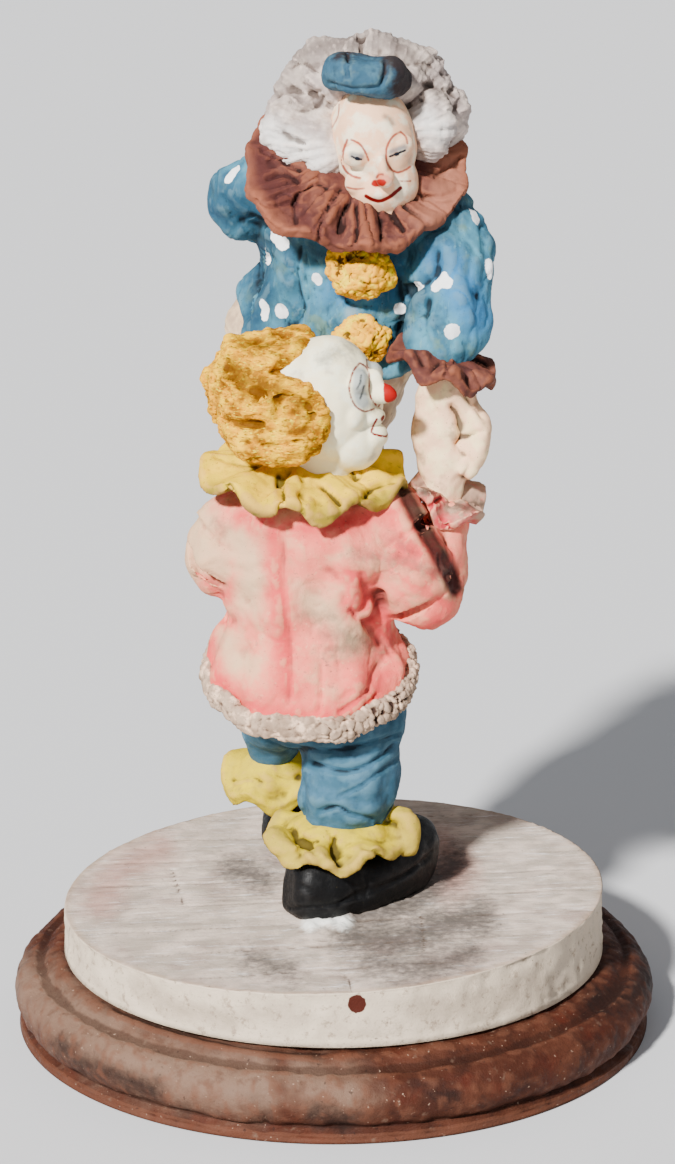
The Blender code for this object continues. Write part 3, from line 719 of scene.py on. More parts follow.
pinkJacket = {
    "body": [(-3.5, -4.0, 34.2, 13.6, 10.6, 0.46), (-3.5, -4.0, 35.6, 14.6, 11.4, 0.46),
             (-3.5, -4.0, 39.0, 13.6, 11.0, 0.38), (-3.6, -3.8, 43.5, 12.2, 10.0, 0.26),
             (-3.2, -4.0, 49.5, 13.4, 10.6, 0.12), (-3.0, -4.2, 55.0, 14.2, 10.6, 0.05),
             (-3.2, -4.2, 60.0, 12.6, 9.4, 0.0), (-3.4, -4.3, 64.5, 6.8, 6.2, 0.0)],
    "leftArm": [(-8.5, -4.2, 58.5, 6.0, 6.2), (-13.4, -4.4, 56.2, 5.9, 6.4), (-16.2, -3.9, 52.4, 5.2, 5.8),
                (-15.6, 0.2, 50.8, 4.8, 4.8), (-14.2, 5.4, 50.4, 4.2, 4.1), (-12.4, 8.6, 50.8, 3.6, 3.4)],
    "rightArm": [(1.5, -4.6, 59.5, 5.8, 6.2), (7.2, -5.4, 56.6, 6.2, 7.2), (11.2, -6.8, 50.4, 6.4, 6.8),
                 (13.4, -6.4, 47.6, 5.0, 5.2), (15.2, -3.2, 50.6, 4.0, 4.4), (16.2, -0.8, 55.0, 3.4, 3.8),
                 (16.2, 0.2, 59.5, 3.4, 3.4)],
    "creases": [
        (0.40, 0.40, [(282, 530), (283, 565), (286, 610), (290, 640), (291, 680), (288, 705)]),
        (0.30, 0.9, [(264, 560), (268, 600), (272, 612)]),
        (-0.35, 1.3, [(272, 560), (276, 610), (280, 660)]),
        (1.3, 0.8, [(378, 596), (381, 608), (377, 620), (371, 626)]),
        (0.9, 1.1, [(402, 488), (412, 506), (425, 530), (438, 552), (449, 572), (455, 588)]),
        (-0.5, 0.9, [(396, 508), (410, 530), (424, 556)]),
        (0.55, 0.6, [(366, 618), (376, 630), (386, 642), (391, 652)]),
        (0.6, 0.6, [(362, 575), (366, 590), (366, 604), (358, 616)]),
        (0.7, 0.5, [(352, 612), (368, 628), (381, 645)]),
        (-0.8, 1.7, [(352, 562), (385, 565), (420, 576), (445, 590)]),
        (0.5, 0.8, [(400, 558), (425, 572), (447, 580)]),
        (0.45, 0.8, [(330, 572), (342, 585), (346, 600)]),
        (0.55, 1.0, [(200, 578), (215, 584), (224, 596)]),
        (0.7, 0.8, [(214, 612), (224, 618), (232, 622)]),
        (-0.7, 1.5, [(222, 596), (238, 602), (250, 620)]),
        (0.4, 0.9, [(215, 565), (245, 572), (262, 568)]),
        (0.5, 0.5, [(384, 658), (374, 672), (368, 690)]),
        (0.25, 0.4, [(352, 690), (340, 700)]), (0.4, 0.35, [(368, 690), (352, 704), (340, 712)]),
        (0.4, 0.35, [(378, 694), (362, 710), (352, 718)]),
        (0.3, 0.35, [(318, 648), (322, 680), (318, 712)]),
        (-0.4, 1.6, [(300, 650), (306, 690), (300, 708)]),
        (-0.5, 1.8, [(336, 650), (352, 668), (356, 690)]),
        (-0.3, 1.6, [(240, 634), (252, 640), (258, 650)]),
    ],
    # where the pink is stronger: along the seam, under the collar, in the folds, by the hem
    "strongPink": [
        (1.6, [(272, 528), (276, 560), (284, 640), (288, 690)]),
        (1.2, [(240, 518), (300, 530), (350, 522), (392, 512)]),
        (1.5, [(208, 640), (212, 668), (226, 690), (250, 706), (290, 716), (330, 716), (360, 704)]),
        (1.0, [(376, 600), (384, 618), (390, 640), (372, 620)]),
        (1.0, [(206, 584), (224, 596)]), (0.9, [(212, 612), (230, 622)]),
        (0.8, [(440, 600), (448, 612), (428, 626), (400, 628)]),
        (1.4, [(350, 572), (366, 598), (350, 610)]), (1.0, [(372, 680), (382, 676), (370, 700)]),
        (0.9, [(404, 548), (424, 556)]),
    ],
    "deepShade": [(1.2, [(402, 488), (412, 506), (425, 530), (438, 552), (449, 572), (455, 588)])],
    "rubMarks": [
        (0.5, [(306, 616), (330, 618)]), (0.7, [(326, 634), (360, 640), (384, 650)]),
        (0.5, [(218, 524), (222, 530)]),
        (0.7, [(330, 650), (356, 646)]), (0.9, [(356, 556), (400, 562), (440, 574)]),
        (0.6, [(392, 536), (410, 552)]),
    ],
    "cream": [(4.2, [(192, 524), (190, 550), (204, 566)]), (2.6, [(238, 538), (250, 566), (248, 600)]),
              (2.4, [(222, 640), (234, 660)]), (2.0, [(306, 600), (330, 612), (352, 640)])],
}


def jacketPaint(name):
    paint = Finish(name, rgb(231, 196, 181))
    paint.patches(rgb(230, 176, 164), 5.5, 0.40, 0.66, 0.85, stretch=(1, 1, 0.6))
    paint.patches(rgb(227, 214, 197), 4.2, 0.44, 0.74, 0.9, shift=2)
    paint.patches(rgb(228, 156, 150), 3.0, 0.56, 0.78, 0.5, shift=4)
    paint.patches(rgb(178, 160, 152), 1.8, 0.60, 0.76, 0.45, shift=7, rough=0.8)
    paint.patches(rgb(236, 222, 208), 1.0, 0.60, 0.74, 0.5, shift=10, rough=0.7)
    return paint


def smallPinkJacket():
    bm = bmesh.new()
    garment(bm, pinkJacket["body"], folds=9, foldDepth=0.045, crease=0.10)
    limb(bm, pinkJacket["leftArm"], crease=0.14)
    limb(bm, pinkJacket["rightArm"], crease=0.12)
    cast = fuse("small_jacket", bm, 0.38, rounds=8)
    cast.handPressed((0.7, 7.0), (0.16, 2.8), (0.08, 1.0), (0.04, 0.5))
    cast.wrinkle(0.12, 3.6, (1, 1, 0.7), 0.05)
    cast.press(pinkJacket["creases"])
    cast.drawnEach(pinkJacket, "deepShade", "strongPink", "rubMarks", "cream")
    paint = jacketPaint("worn_pink_paint")
    paint.stroke("cream", rgb(224, 216, 200), soft=2.2, ragged=3.4, amount=0.85, size=2.6)
    paint.stroke("strongPink", rgb(226, 126, 134), soft=1.7, ragged=2.8, amount=0.85, size=2.2)
    paint.dirtAndShade(rgb(200, 104, 108), 0.08, 0.45, 0.6)
    paint.dirtAndShade(rgb(96, 48, 48), 0.34, 0.9, 0.6)
    paint.worn(rgb(226, 214, 194), 0.03, 0.12, 0.4)
    paint.stroke("deepShade", rgb(52, 26, 24), soft=0.6, ragged=0.4, amount=0.94, size=1.5)
    paint.stroke("rubMarks", rgb(128, 116, 110), soft=1.6, ragged=3.4, amount=0.55, size=0.9)
    paint.patches(rgb(116, 100, 96), 0.45, 0.64, 0.76, 0.45, shift=8)
    cast.finish(paint.done(grain=0.25, bump=0.17))


hemFrill = {
    "centre": (-3.5, -4.0, 35.2), "wide": 14.7, "deep": 11.5, "rise": 0.46, "gathers": 34,
    "thick": 1.15, "tall": 2.0, "cornersPerGather": 14, "sides": 18,
    # the gathers are flattened to the left and stand out to the right
    "flat": 0.50, "full": 1.15,
}


def smallHemFrill():
    bm = bmesh.new()
    x, y, z = hemFrill["centre"]
    rings = []
    wide, deep, sides = hemFrill["wide"], hemFrill["deep"], hemFrill["sides"]
    count = hemFrill["gathers"] * hemFrill["cornersPerGather"]
    for corner in range(count):
        angle = math.tau * corner / count
        away = math.sin(angle) * deep
        wave = 0.5 * math.sin(angle * 7 + 1) + 0.3 * math.sin(angle * 12)
        height = z + hemFrill["rise"] * away + wave * 0.5
        middle = Vector((x + math.cos(angle) * wide, y + away, height))
        out = Vector((math.cos(angle), math.sin(angle), 0))
        section = []
        for step in range(sides):
            turn = math.tau * step / sides
            section.append(middle + out * (math.cos(turn) * hemFrill["thick"])
                           + Vector((0, 0, math.sin(turn) * hemFrill["tall"])))
        rings.append(section)
    skin(bm, rings, closed=True)
    cast = fuse("hem_frill", bm, 0.22, rounds=3)
    # gathers across the edging, cracked between, and a crumbled surface
    side = eased(cast.points[:, 0], -6.0, 9.0)
    strength = hemFrill["flat"] + (hemFrill["full"] - hemFrill["flat"]) * side
    around = np.arctan2((cast.points[:, 1] - y) / deep, (cast.points[:, 0] - x) / wide)
    gathers = np.abs(np.sin(hemFrill["gathers"] * around + 2.2 * softNoise(cast.points, 2.4)))
    cast.move(strength * (0.35 * np.sqrt(gathers) - 0.30))
    cast.move(strength * (0.42 * crackled(cast.points / (1.9, 1.9, 1.5), 0.20) - 0.32))
    cast.handPressed((0.26, 1.4), (0.12, 0.5))
    paint = Finish("dirty_white_paint", rgb(214, 204, 192))
    paint.patches(rgb(196, 180, 162), 2.5, 0.45, 0.68, 0.75)
    paint.patches(rgb(230, 224, 216), 1.6, 0.50, 0.68, 0.8, shift=2)
    paint.dirtAndShade(rgb(150, 124, 104), 0.0, 0.14, 0.7)
    paint.dirtAndShade(rgb(84, 46, 38), 0.10, 0.26, 0.9)
    paint.patches(rgb(110, 96, 84), 0.4, 0.62, 0.74, 0.5, shift=8)
    cast.finish(paint.done(grain=0.2, bump=0.12))


pinkCuffs = {
    "right": {"centre": (16.2, 0.0, 59.6), "radius": 6.1, "thick": 2.4, "waves": 4, "lift": 1.5,
              "turn": (28, 18, 30), "cup": 0.8},
    "left": {"centre": (-12.2, 8.8, 51.0), "radius": 5.2, "thick": 1.1, "waves": 6, "lift": 0.9,
             "turn": (-68, 0, -32)},
    "creases": [(0.7, 0.4, [(424, 512), (436, 502), (446, 494)]),
                (0.8, 0.45, [(444, 522), (450, 534), (454, 546)]),
                (0.4, 0.35, [(446, 524), (462, 516), (474, 514)]),
                (0.35, 0.3, [(452, 532), (466, 528), (478, 526)])],
    "pinkWash": [(1.3, [(418, 512), (432, 504), (440, 494)]),
                 (1.2, [(440, 520), (456, 534), (470, 528)])],
    "dirt": [(0.7, [(452, 502), (466, 508), (480, 504)]), (0.8, [(424, 492), (446, 490)])],
}


def smallPinkCuffs():
    bm = bmesh.new()
    ruffle(bm, pinkCuffs["right"])
    ruffle(bm, pinkCuffs["left"])
    cast = fuse("small_wrist_cuffs", bm, 0.25, rounds=8)
    cast.pleat(pinkCuffs["left"], 8, 0.35, 0.3, 22)
    cast.handPressed((0.5, 2.8), (0.14, 1.0), (0.05, 0.4))
    cast.press(pinkCuffs["creases"])
    cast.drawnEach(pinkCuffs, "pinkWash", "dirt")
    paint = Finish("cream_cuff_paint", rgb(216, 202, 188))
    paint.stroke("pinkWash", rgb(222, 118, 130), soft=0.9, ragged=1.8, amount=0.95, size=1.4)
    paint.patches(rgb(226, 160, 158), 2.4, 0.50, 0.7, 0.6, shift=2)
    paint.stroke("dirt", rgb(92, 80, 70), soft=0.8, ragged=1.8, amount=0.8, size=0.8)
    paint.dirtAndShade(rgb(104, 48, 46), 0.06, 0.38, 0.9)
    paint.worn(rgb(230, 220, 206), 0.04, 0.12, 0.5)
    cast.finish(paint.done(grain=0.2, bump=0.10))


yellowCollar = {
    "plate": {"centre": (-4.0, -4.4, 66.6), "radius": 14.2, "thick": 2.2, "waves": 9, "lift": 1.3,
              "turn": (11, 3, 14), "inner": 0.25, "cup": -1.6},
    "creases": [
        (1.0, 0.5, [(279, 476), (281, 492), (281, 508)]),
        (0.8, 0.45, [(322, 486), (332, 496), (340, 506)]),
        (0.6, 0.4, [(352, 470), (356, 478), (362, 474), (358, 466)]),
        (0.8, 0.5, [(226, 486), (234, 500), (238, 512)]),
        (0.5, 0.35, [(216, 456), (232, 462), (256, 466)]),
        (0.7, 0.45, [(365, 498), (374, 488), (394, 480)]),
        (0.5, 0.35, [(300, 494), (304, 508), (300, 520)]), (0.45, 0.4, [(300, 470), (304, 480)]),
        (-0.5, 1.0, [(248, 500), (268, 512), (288, 518)]),
        (-0.5, 1.0, [(308, 502), (320, 498), (330, 508)]),
    ],
    "shade": [(1.2, [(212, 492), (244, 512), (292, 522), (340, 512), (392, 496), (410, 476)])],
}


def smallYellowCollar():
    bm = bmesh.new()
    ruffle(bm, yellowCollar["plate"])
    cast = fuse("small_collar", bm, 0.32, rounds=8)
    cast.pleat(yellowCollar["plate"], 11, 0.45, 0.42, 11)
    cast.handPressed((0.6, 4.4), (0.16, 1.6), (0.05, 0.6))
    cast.press(yellowCollar["creases"])
    cast.drawnEach(yellowCollar, "shade")
    paint = Finish("yellow_collar_paint", rgb(226, 218, 40))
    paint.patches(rgb(230, 222, 90), 3.2, 0.42, 0.66, 0.7)
    paint.patches(rgb(206, 184, 34), 2.2, 0.52, 0.74, 0.6, shift=2)
    paint.stroke("shade", rgb(176, 166, 84), soft=1.6, ragged=2.0, amount=0.75, size=2.0)
    # painted shade on the underside of the collar
    paint.coat(paint.between(paint.read("under"), -0.2, 0.7, 0, 0.8), rgb(162, 152, 76))
    paint.dirtAndShade(rgb(84, 68, 30), 0.08, 0.5, 0.9)
    paint.patches(rgb(92, 86, 64), 0.6, 0.60, 0.74, 0.5, shift=7)
    paint.worn(rgb(222, 206, 150), 0.04, 0.13, 0.5)
    cast.finish(paint.done(grain=0.25, bump=0.14))


smallFace = {
    "centre": (-0.8, -5.0, 75.4), "turn": (0, 0, 68),
    "neck": [(-2.6, -4.5, 62.0, 5.0, 5.0), (-1.6, -4.8, 70.0, 5.4, 5.4)],
    # the head's forms: how far to the side, to the front and up from its centre, and their radii
    "forms": [((0, 0, 0), (7.7, 7.4, 9.6)), ((-1.0, -3.4, 2.6), (6.6, 6.4, 6.4)),
              ((0, 4.0, -5.2), (4.8, 4.0, 4.3)), ((0, 6.7, -4.4), (2.7, 2.4, 2.0)),
              ((0, 8.0, 2.0), (1.4, 2.5, 1.5)), ((0, 6.9, 3.6), (1.1, 1.5, 1.9)),
              ((0, 6.9, -1.5), (2.6, 1.6, 1.1))],
    "pairs": [((2.7, 5.6, 4.0), (2.3, 1.5, 1.7)), ((3.3, 5.4, -0.8), (2.2, 1.6, 2.1)),
              ((7.4, -0.6, -0.4), (1.0, 1.6, 2.2))],
    "ovals": [(0.13, [(359.6, 363), (353, 372), (349.4, 385.5), (350.5, 396), (355.5, 405.9), (364.7, 411.4),
                      (373.9, 409)]),
              (0.12, [(359.6, 363), (366, 367), (369.2, 376), (369, 388), (371, 398), (376, 405)])],
    "eyeWhite": [(1.0, [(360, 374), (359, 388), (363, 402)])],
    "eyeDark": [(0.14, [(361, 375), (360, 383), (357, 389)]),
                (0.13, [(364, 386), (362, 394), (360, 399)])],
    "mouth": [(0.55, [(384.5, 419), (387, 417.5)]), (0.2, [(390, 407), (387, 412), (385.5, 418)])],
    "muzzle": [(0.16, [(377, 419), (373.9, 424.3), (371.8, 432.4), (379, 435.5), (388.2, 436.5)]),
               (0.15, [(376, 405), (381, 410), (386, 408)])],
    # grey marks: painted shade beside the nose, and smudges at the hair's edge
    "smudgeAndShade": [(0.5, [(374, 404), (380, 409)]), (0.7, [(338, 352), (322, 360)]),
               (0.5, [(345, 345), (352, 350)])],
    "noseTip": [(1.15, [(391.5, 384), (391.5, 396)])],
}


def headForms(bm, face):
    # the head's forms, then those that both sides have
    look = turned(*face["turn"])

    def onHead(side, front, up):
        return Vector(face["centre"]) + look @ Vector((side, -front, up))

    for spot, radii in face["forms"]:
        ball(bm, onHead(*spot), radii, look, detail=5 if max(radii) > 6 else 4)
    for side in (-1, 1):
        for (out, front, up), radii in face["pairs"]:
            ball(bm, onHead(side * out, front, up), radii, look)


def facePaint(name, colour):
    paint = Finish(name, colour)
    paint.patches(rgb(240, 236, 228), 2.4, 0.45, 0.62, 0.6)
    paint.patches(rgb(208, 202, 196), 3.2, 0.58, 0.76, 0.5, shift=2)
    return paint


def smallHead():
    bm = bmesh.new()
    limb(bm, smallFace["neck"])
    headForms(bm, smallFace)
    cast = fuse("small_head", bm, 0.26)
    cast.handPressed((0.2, 4.0), (0.08, 1.4))
    # the side away from the camera is painted as its mirror image
    turn, centre = np.array(turned(*smallFace["turn"])), np.array(Vector(smallFace["centre"]))
    local = (cast.points - centre) @ turn
    local[:, 0] = -np.abs(local[:, 0])
    mirrored = photoSpots(local @ turn.T + centre)[0]
    for name in ("ovals", "eyeWhite", "eyeDark", "mouth", "muzzle", "noseTip", "smudgeAndShade"):
        cast.drawn(name, smallFace[name], mirrored)
    paint = facePaint("small_face_paint", rgb(232, 229, 222))
    paint.dirtAndShade(rgb(140, 128, 118), 0.08, 0.5, 0.6)
    # grey painted shade beside the nose, and smudges at the hair's edge
    paint.stroke("smudgeAndShade", rgb(128, 122, 122), soft=1.0, ragged=1.8, amount=0.55)
    paint.stroke("eyeWhite", rgb(196, 205, 210), soft=0.5, amount=0.7)
    paint.stroke("eyeDark", rgb(44, 54, 72), soft=0.14, ragged=0.3, amount=0.85)
    paint.stroke("ovals", rgb(176, 44, 34), soft=0.12, ragged=0.2)
    paint.stroke("muzzle", rgb(180, 34, 30), soft=0.09, ragged=0.15)
    paint.stroke("mouth", rgb(176, 10, 14), soft=0.10, ragged=0.15)
    paint.stroke("noseTip", rgb(206, 22, 14), soft=0.12, ragged=0.4)
    cast.finish(paint.done(rough=(0.5, 0.72), grain=0.35, bump=0.06))


smallCurls = {
    "masses": [((-10.6, -6.6, 76.2), (6.2, 6.0, 6.4), -8), ((-11.4, -3.0, 77.0), (6.4, 7.4, 7.8), 0),
               ((-6.8, 2.4, 77.8), (7.2, 5.2, 7.0), 12), ((-9.4, -11.8, 76.2), (4.8, 3.4, 3.4), 0)],
    # rolls of hair: the big one below round the ear, one behind it and one over the crown's edge
    "rolls": [[(-14.4, -8.6, 73.6, 2.6, 2.6), (-11.4, -12.0, 72.0, 3.2, 3.1), (-7.2, -13.2, 71.4, 3.4, 3.2),
               (-4.0, -12.8, 72.6, 3.1, 3.3), (-3.2, -12.2, 75.8, 2.6, 2.9), (-5.4, -12.0, 78.0, 2.4, 2.4),
               (-9.0, -11.4, 78.6, 2.2, 2.0)],
              [(-15.2, -6.0, 77.4, 2.8, 2.8), (-13.2, -9.2, 77.2, 3.0, 2.8), (-10.2, -11.4, 77.0, 2.6, 2.4)],
              [(-13.8, -5.4, 80.6, 2.6, 2.4), (-11.0, -7.4, 81.4, 2.8, 2.6), (-7.4, -7.4, 82.6, 2.8, 2.3),
               (-3.8, -4.4, 83.2, 2.2, 1.6)]],
    # rough locks that run round the head: share, how the noise is squeezed, and its shift
    "lockDepth": 0.32,
    "locks": [(1.0, (0.35, 0.35, 1.2), 0.0), (0.5, (0.6, 0.6, 2.2), 9.0), (0.45, (0.7, 0.7, 3.6), 5.0)],
    "hollows": [(0.5, 0.7, [(286, 398), (304, 402), (312, 416), (304, 430), (290, 430)]),
                (0.7, 0.8, [(226, 372), (246, 388), (268, 396), (290, 394)]),
                (0.4, 0.9, [(228, 360), (246, 352)]), (0.5, 0.8, [(258, 340), (288, 340)]),
                (0.5, 0.5, [(218, 416), (240, 424), (262, 424)]),
                (0.5, 0.5, [(214, 380), (226, 388), (232, 404)]),
                (0.5, 0.45, [(240, 440), (270, 446), (300, 442)])],
    # painted shade under the upper curl and in the lower curl's hollow, and darker ochre on the crown
    "ochreAndShade": [(0.9, [(292, 398), (306, 410), (304, 428)]), (1.6, [(232, 370), (250, 384), (274, 394)]),
                 (0.9, [(296, 330), (316, 340)]), (0.8, [(250, 346), (280, 342)])],
}


def smallHair():
    bm = bmesh.new()
    for centre, radii, roll in smallCurls["masses"]:
        ball(bm, centre, radii, turned(roll=roll), lumps=1.8, lumpSize=3.2, detail=5)
    for roll in smallCurls["rolls"]:
        limb(bm, roll, crease=0.16)
    cast = fuse("small_hair", bm, 0.29, rounds=4)
    sweep = np.zeros(len(cast.points))
    for share, squeeze, shift in smallCurls["locks"]:
        sweep += share * softNoise(cast.points * squeeze, 1.0, shift)
    cast.move(smallCurls["lockDepth"] * sweep)
    cast.handPressed((0.35, 3.0), (0.20, 1.1), (0.12, 0.45))
    cast.press(smallCurls["hollows"])
    cast.drawnEach(smallCurls, "ochreAndShade")
    paint = Finish("ochre_hair_paint", rgb(226, 206, 8))
    paint.patches(rgb(234, 222, 24), 2.4, 0.42, 0.64, 0.8)
    paint.patches(rgb(196, 148, 2), 2.8, 0.44, 0.66, 0.9, shift=2)
    paint.patches(rgb(238, 230, 120), 0.8, 0.58, 0.68, 0.6, shift=4, stretch=(1, 1, 3))
    paint.patches(rgb(168, 120, 8), 0.8, 0.52, 0.66, 0.75, shift=6, stretch=(1, 1, 3))
    # painted shade under the upper curl and in the lower curl's hollow, and darker ochre on the crown
    paint.stroke("ochreAndShade", rgb(158, 116, 22), soft=1.5, ragged=2.8, amount=0.75, size=1.4)
    paint.dirtAndShade(rgb(158, 104, 4), 0.04, 0.34, 0.85)
    paint.dirtAndShade(rgb(104, 66, 12), 0.35, 0.9, 0.7)
    paint.worn(rgb(234, 218, 60), 0.04, 0.14, 0.5)
    cast.finish(paint.done(grain=0.3, bump=0.18, shine=0.08))


smallGlove = {
    "palm": ((-10.8, 11.6, 51.0), (3.2, 3.4, 2.6)),
    "firstFinger": (-13.0, 11.6), "apart": 1.5, "thick": 0.85,
    "reaches": (3.6, 4.2, 4.0, 3.2),
    "heights": (51.6, 51.9, 50.6),         # of a finger's root, middle and tip
}


def smallHand():
    bm = bmesh.new()
    ball(bm, *smallGlove["palm"])
    across, y = smallGlove["firstFinger"]
    root, middle, tip = smallGlove["heights"]
    for index, reach in enumerate(smallGlove["reaches"]):
        x = across + index * smallGlove["apart"]
        path = [(x, y, root), (x + 0.6, y + reach * 0.7, middle), (x + 1.0, y + reach, tip)]
        gloveFinger(bm, path, smallGlove["thick"])
    cast = fuse("small_hand", bm, 0.30)
    cast.handPressed((0.2, 2.0), (0.07, 0.8))
    cast.finish(glovePaint("small_hand_paint"))


# The tall clown

def glovePaint(name):
    paint = Finish(name, rgb(230, 222, 210))
    paint.patches(rgb(234, 228, 216), 2.6, 0.42, 0.66, 0.7)
    paint.patches(rgb(186, 166, 142), 2.4, 0.54, 0.76, 0.6, shift=2)
    paint.dirtAndShade(rgb(112, 86, 64), 0.08, 0.45, 0.9)
    paint.patches(rgb(60, 54, 52), 0.28, 0.66, 0.72, 0.65, shift=8)
    return paint.done(rough=(0.5, 0.75), grain=0.25, bump=0.08)


tallLegs = {
    # each leg's middle at ankle, shin, knee, thigh and hip, and how far its toe turns out
    "legs": [((3.4, 21.2), (1.4, 20.8), (0.2, 21.0), (-0.8, 22.8), (4.0, 23.2), 0.6),
             ((0.0, 32.2), (-2.2, 29.8), (-4.6, 27.4), (-6.0, 22.8), (-5.4, 23.2), -1.2)],
    # height, half width and half depth: three at the ankle, then shin, knee, thigh and hip
    "ankle": [(4.0, 2.8, 2.8), (11.0, 3.4, 3.6), (17.0, 4.4, 5.0)],
    "above": [(30.0, 5.6, 7.2), (45.0, 7.4, 8.6), (61.0, 8.0, 9.8), (77.0, 9.0, 10.4)],
    "seat": ((1.8, 23.6, 81.6), (17.4, 12.4, 9.4)),
    # a shoe from heel to toe: share of the toe's turn, y from the ankle, height, half width and half height
    "shoe": [(-0.3, 4.2, 3.0, 1.0, 1.6), (0, 2.6, 3.4, 3.6, 3.8), (0, -1.0, 3.6, 3.9, 4.1),
             (0.4, -4.4, 3.8, 4.0, 4.4), (0.7, -6.8, 3.6, 3.4, 3.8), (0.8, -8.2, 3.4, 1.2, 1.8)],
}


def tallTrousers():
    bm = bmesh.new()
    for ankle, *above, toeOut in tallLegs["legs"]:
        stations = [(*ankle, *size) for size in tallLegs["ankle"]]
        stations += [(*middle, *size) for middle, size in zip(above, tallLegs["above"])]
        limb(bm, stations, crease=0.14)
    ball(bm, *tallLegs["seat"], lumps=2.0, lumpSize=6.0, detail=5)
    cast = fuse("tall_trousers", bm, 0.54, rounds=6)
    cast.handPressed((0.8, 8.0), (0.10, 3.2), (0.04, 1.0))
    cast.wrinkle(0.40, 8.5, (1.2, 1.2, 0.4), 0.06)
    cast.wrinkle(0.20, 6.0, (1, 1, 1.6), 0.05)
    paint = Finish("cream_trouser_paint", rgb(216, 206, 192))
    paint.patches(rgb(228, 222, 210), 3.6, 0.42, 0.66, 0.75)
    paint.patches(rgb(184, 166, 142), 5.0, 0.50, 0.76, 0.7, shift=2)
    paint.dirtAndShade(rgb(124, 100, 78), 0.10, 0.55, 0.9)
    paint.patches(rgb(104, 90, 76), 0.4, 0.66, 0.76, 0.5, shift=8)
    paint.worn(rgb(230, 226, 214), 0.05, 0.14, 0.4)
    cast.finish(paint.done(grain=0.3, bump=0.14))


def tallShoes():
    bm = bmesh.new()
    for (x, y), *above, toeOut in tallLegs["legs"]:
        stations = [(x + toeOut * turn, y + back, *size) for turn, back, *size in tallLegs["shoe"]]
        limb(bm, stations, crease=0.05)
    cast = fuse("tall_shoes", bm, 0.40)
    cast.handPressed((0.25, 4.0), (0.10, 1.4))
    cast.finish(blackShoePaint("tall_shoe_black"))


brownRuff = {
    "plate": {"centre": (3.2, 8.4, 107.1), "radius": 15.7, "thick": 2.4, "waves": 11, "lift": 0.7,
              "turn": (39, 1, 10), "inner": 0.2, "cup": -0.9},
    "creases": [
        (0.8, 0.30, [(341, 190), (330, 206), (321, 226), (318, 242)]),
        (0.9, 0.30, [(356, 204), (357, 226), (354, 244)]),
        (0.7, 0.25, [(347, 206), (341, 220), (339, 232)]),
        (0.8, 0.28, [(388, 206), (396, 220), (403, 230)]),
        (0.6, 0.28, [(297, 196), (295, 210), (296, 222)]),
        (0.6, 0.3, [(312, 184), (302, 190), (293, 204)]),
        (0.6, 0.25, [(404, 206), (416, 214), (430, 222)]),
        (-0.5, 0.9, [(368, 210), (370, 228), (370, 248)]),
        (0.5, 0.25, [(378, 208), (382, 226), (382, 240)]),
        (-0.5, 0.9, [(328, 220), (336, 206), (345, 198)]),
        (0.6, 0.35, [(268, 178), (284, 174), (298, 182)]),
        (0.5, 0.30, [(262, 150), (280, 160), (300, 170)]),
        (0.5, 0.35, [(424, 198), (442, 196), (456, 190)]),
        (0.6, 0.30, [(436, 176), (452, 164), (462, 156)]),
        (0.5, 0.3, [(306, 188), (318, 184), (326, 188)]),
        (0.45, 0.3, [(256, 200), (272, 206), (290, 202)]),
    ],
    "plum": [(2.6, [(256, 150), (262, 176), (284, 198)]), (1.2, [(300, 214), (318, 236)])],
    # painted light on the ruff's right part
    "tan": [(3.0, [(450, 142), (456, 166), (452, 192), (438, 212)])],
}


def brownPaint(name):
    paint = Finish(name, rgb(152, 98, 86))
    paint.patches(rgb(176, 124, 104), 3.4, 0.40, 0.66, 0.85)
    paint.patches(rgb(112, 62, 60), 2.6, 0.50, 0.74, 0.75, shift=2)
    paint.patches(rgb(122, 84, 96), 3.6, 0.56, 0.76, 0.4, shift=4)
    paint.dirtAndShade(rgb(48, 24, 22), 0.08, 0.40, 0.9)
    paint.worn(rgb(192, 140, 108), 0.04, 0.13, 0.7)
    paint.patches(rgb(196, 150, 122), 0.7, 0.64, 0.76, 0.5, shift=8)
    return paint


def tallRuff():
    bm = bmesh.new()
    ruffle(bm, brownRuff["plate"])
    cast = fuse("tall_ruff", bm, 0.31, rounds=7)
    cast.pleat(brownRuff["plate"], 24, 0.45, 0.28, 5)
    cast.handPressed((0.7, 5.0), (0.2, 1.8), (0.08, 0.6))
    cast.wrinkle(0.22, 3.0, sharp=0.10)
    cast.press(brownRuff["creases"])
    cast.drawnEach(brownRuff, "plum", "tan")
    cast.mark("rim", cast.around(brownRuff["plate"])[1] + 0.05 * softNoise(cast.points, 2.0))
    paint = brownPaint("brown_ruff_paint")
    paint.stroke("plum", rgb(120, 66, 66), soft=2.0, ragged=3.0, amount=0.7, size=2.0)
    # painted light on the ruff's right part
    paint.stroke("tan", rgb(206, 168, 144), soft=2.2, ragged=3.4, amount=0.85, size=1.8)
    # painted highlight along the ruff's rim
    paint.coat(paint.between(paint.read("rim"), 0.90, 1.04, 0, 0.6), rgb(204, 158, 126))
    cast.finish(paint.done(grain=0.25, bump=0.16))


tallCuffs = {
    "left": {"centre": (-9.8, 24.0, 95.8), "radius": 5.0, "thick": 1.2, "waves": 6, "lift": 0.9,
             "turn": (-52, 0, -34)},
    "right": {"centre": (16.3, 2.8, 80.0), "radius": 7.9, "thick": 2.2, "waves": 6, "lift": 1.1,
              "turn": (12, 15, 22), "inner": 0.2, "cup": -1.0},
    "creases": [(0.8, 0.4, [(446, 352), (448, 364), (446, 376)]),
                (0.5, 0.35, [(455, 362), (468, 356), (482, 366)]),
                (0.5, 0.35, [(470, 352), (482, 362), (494, 374)]), (0.45, 0.4, [(418, 350), (424, 364)]),
                (-0.5, 0.8, [(452, 370), (470, 374), (490, 380)]), (0.4, 0.3, [(466, 378), (472, 388)])],
}


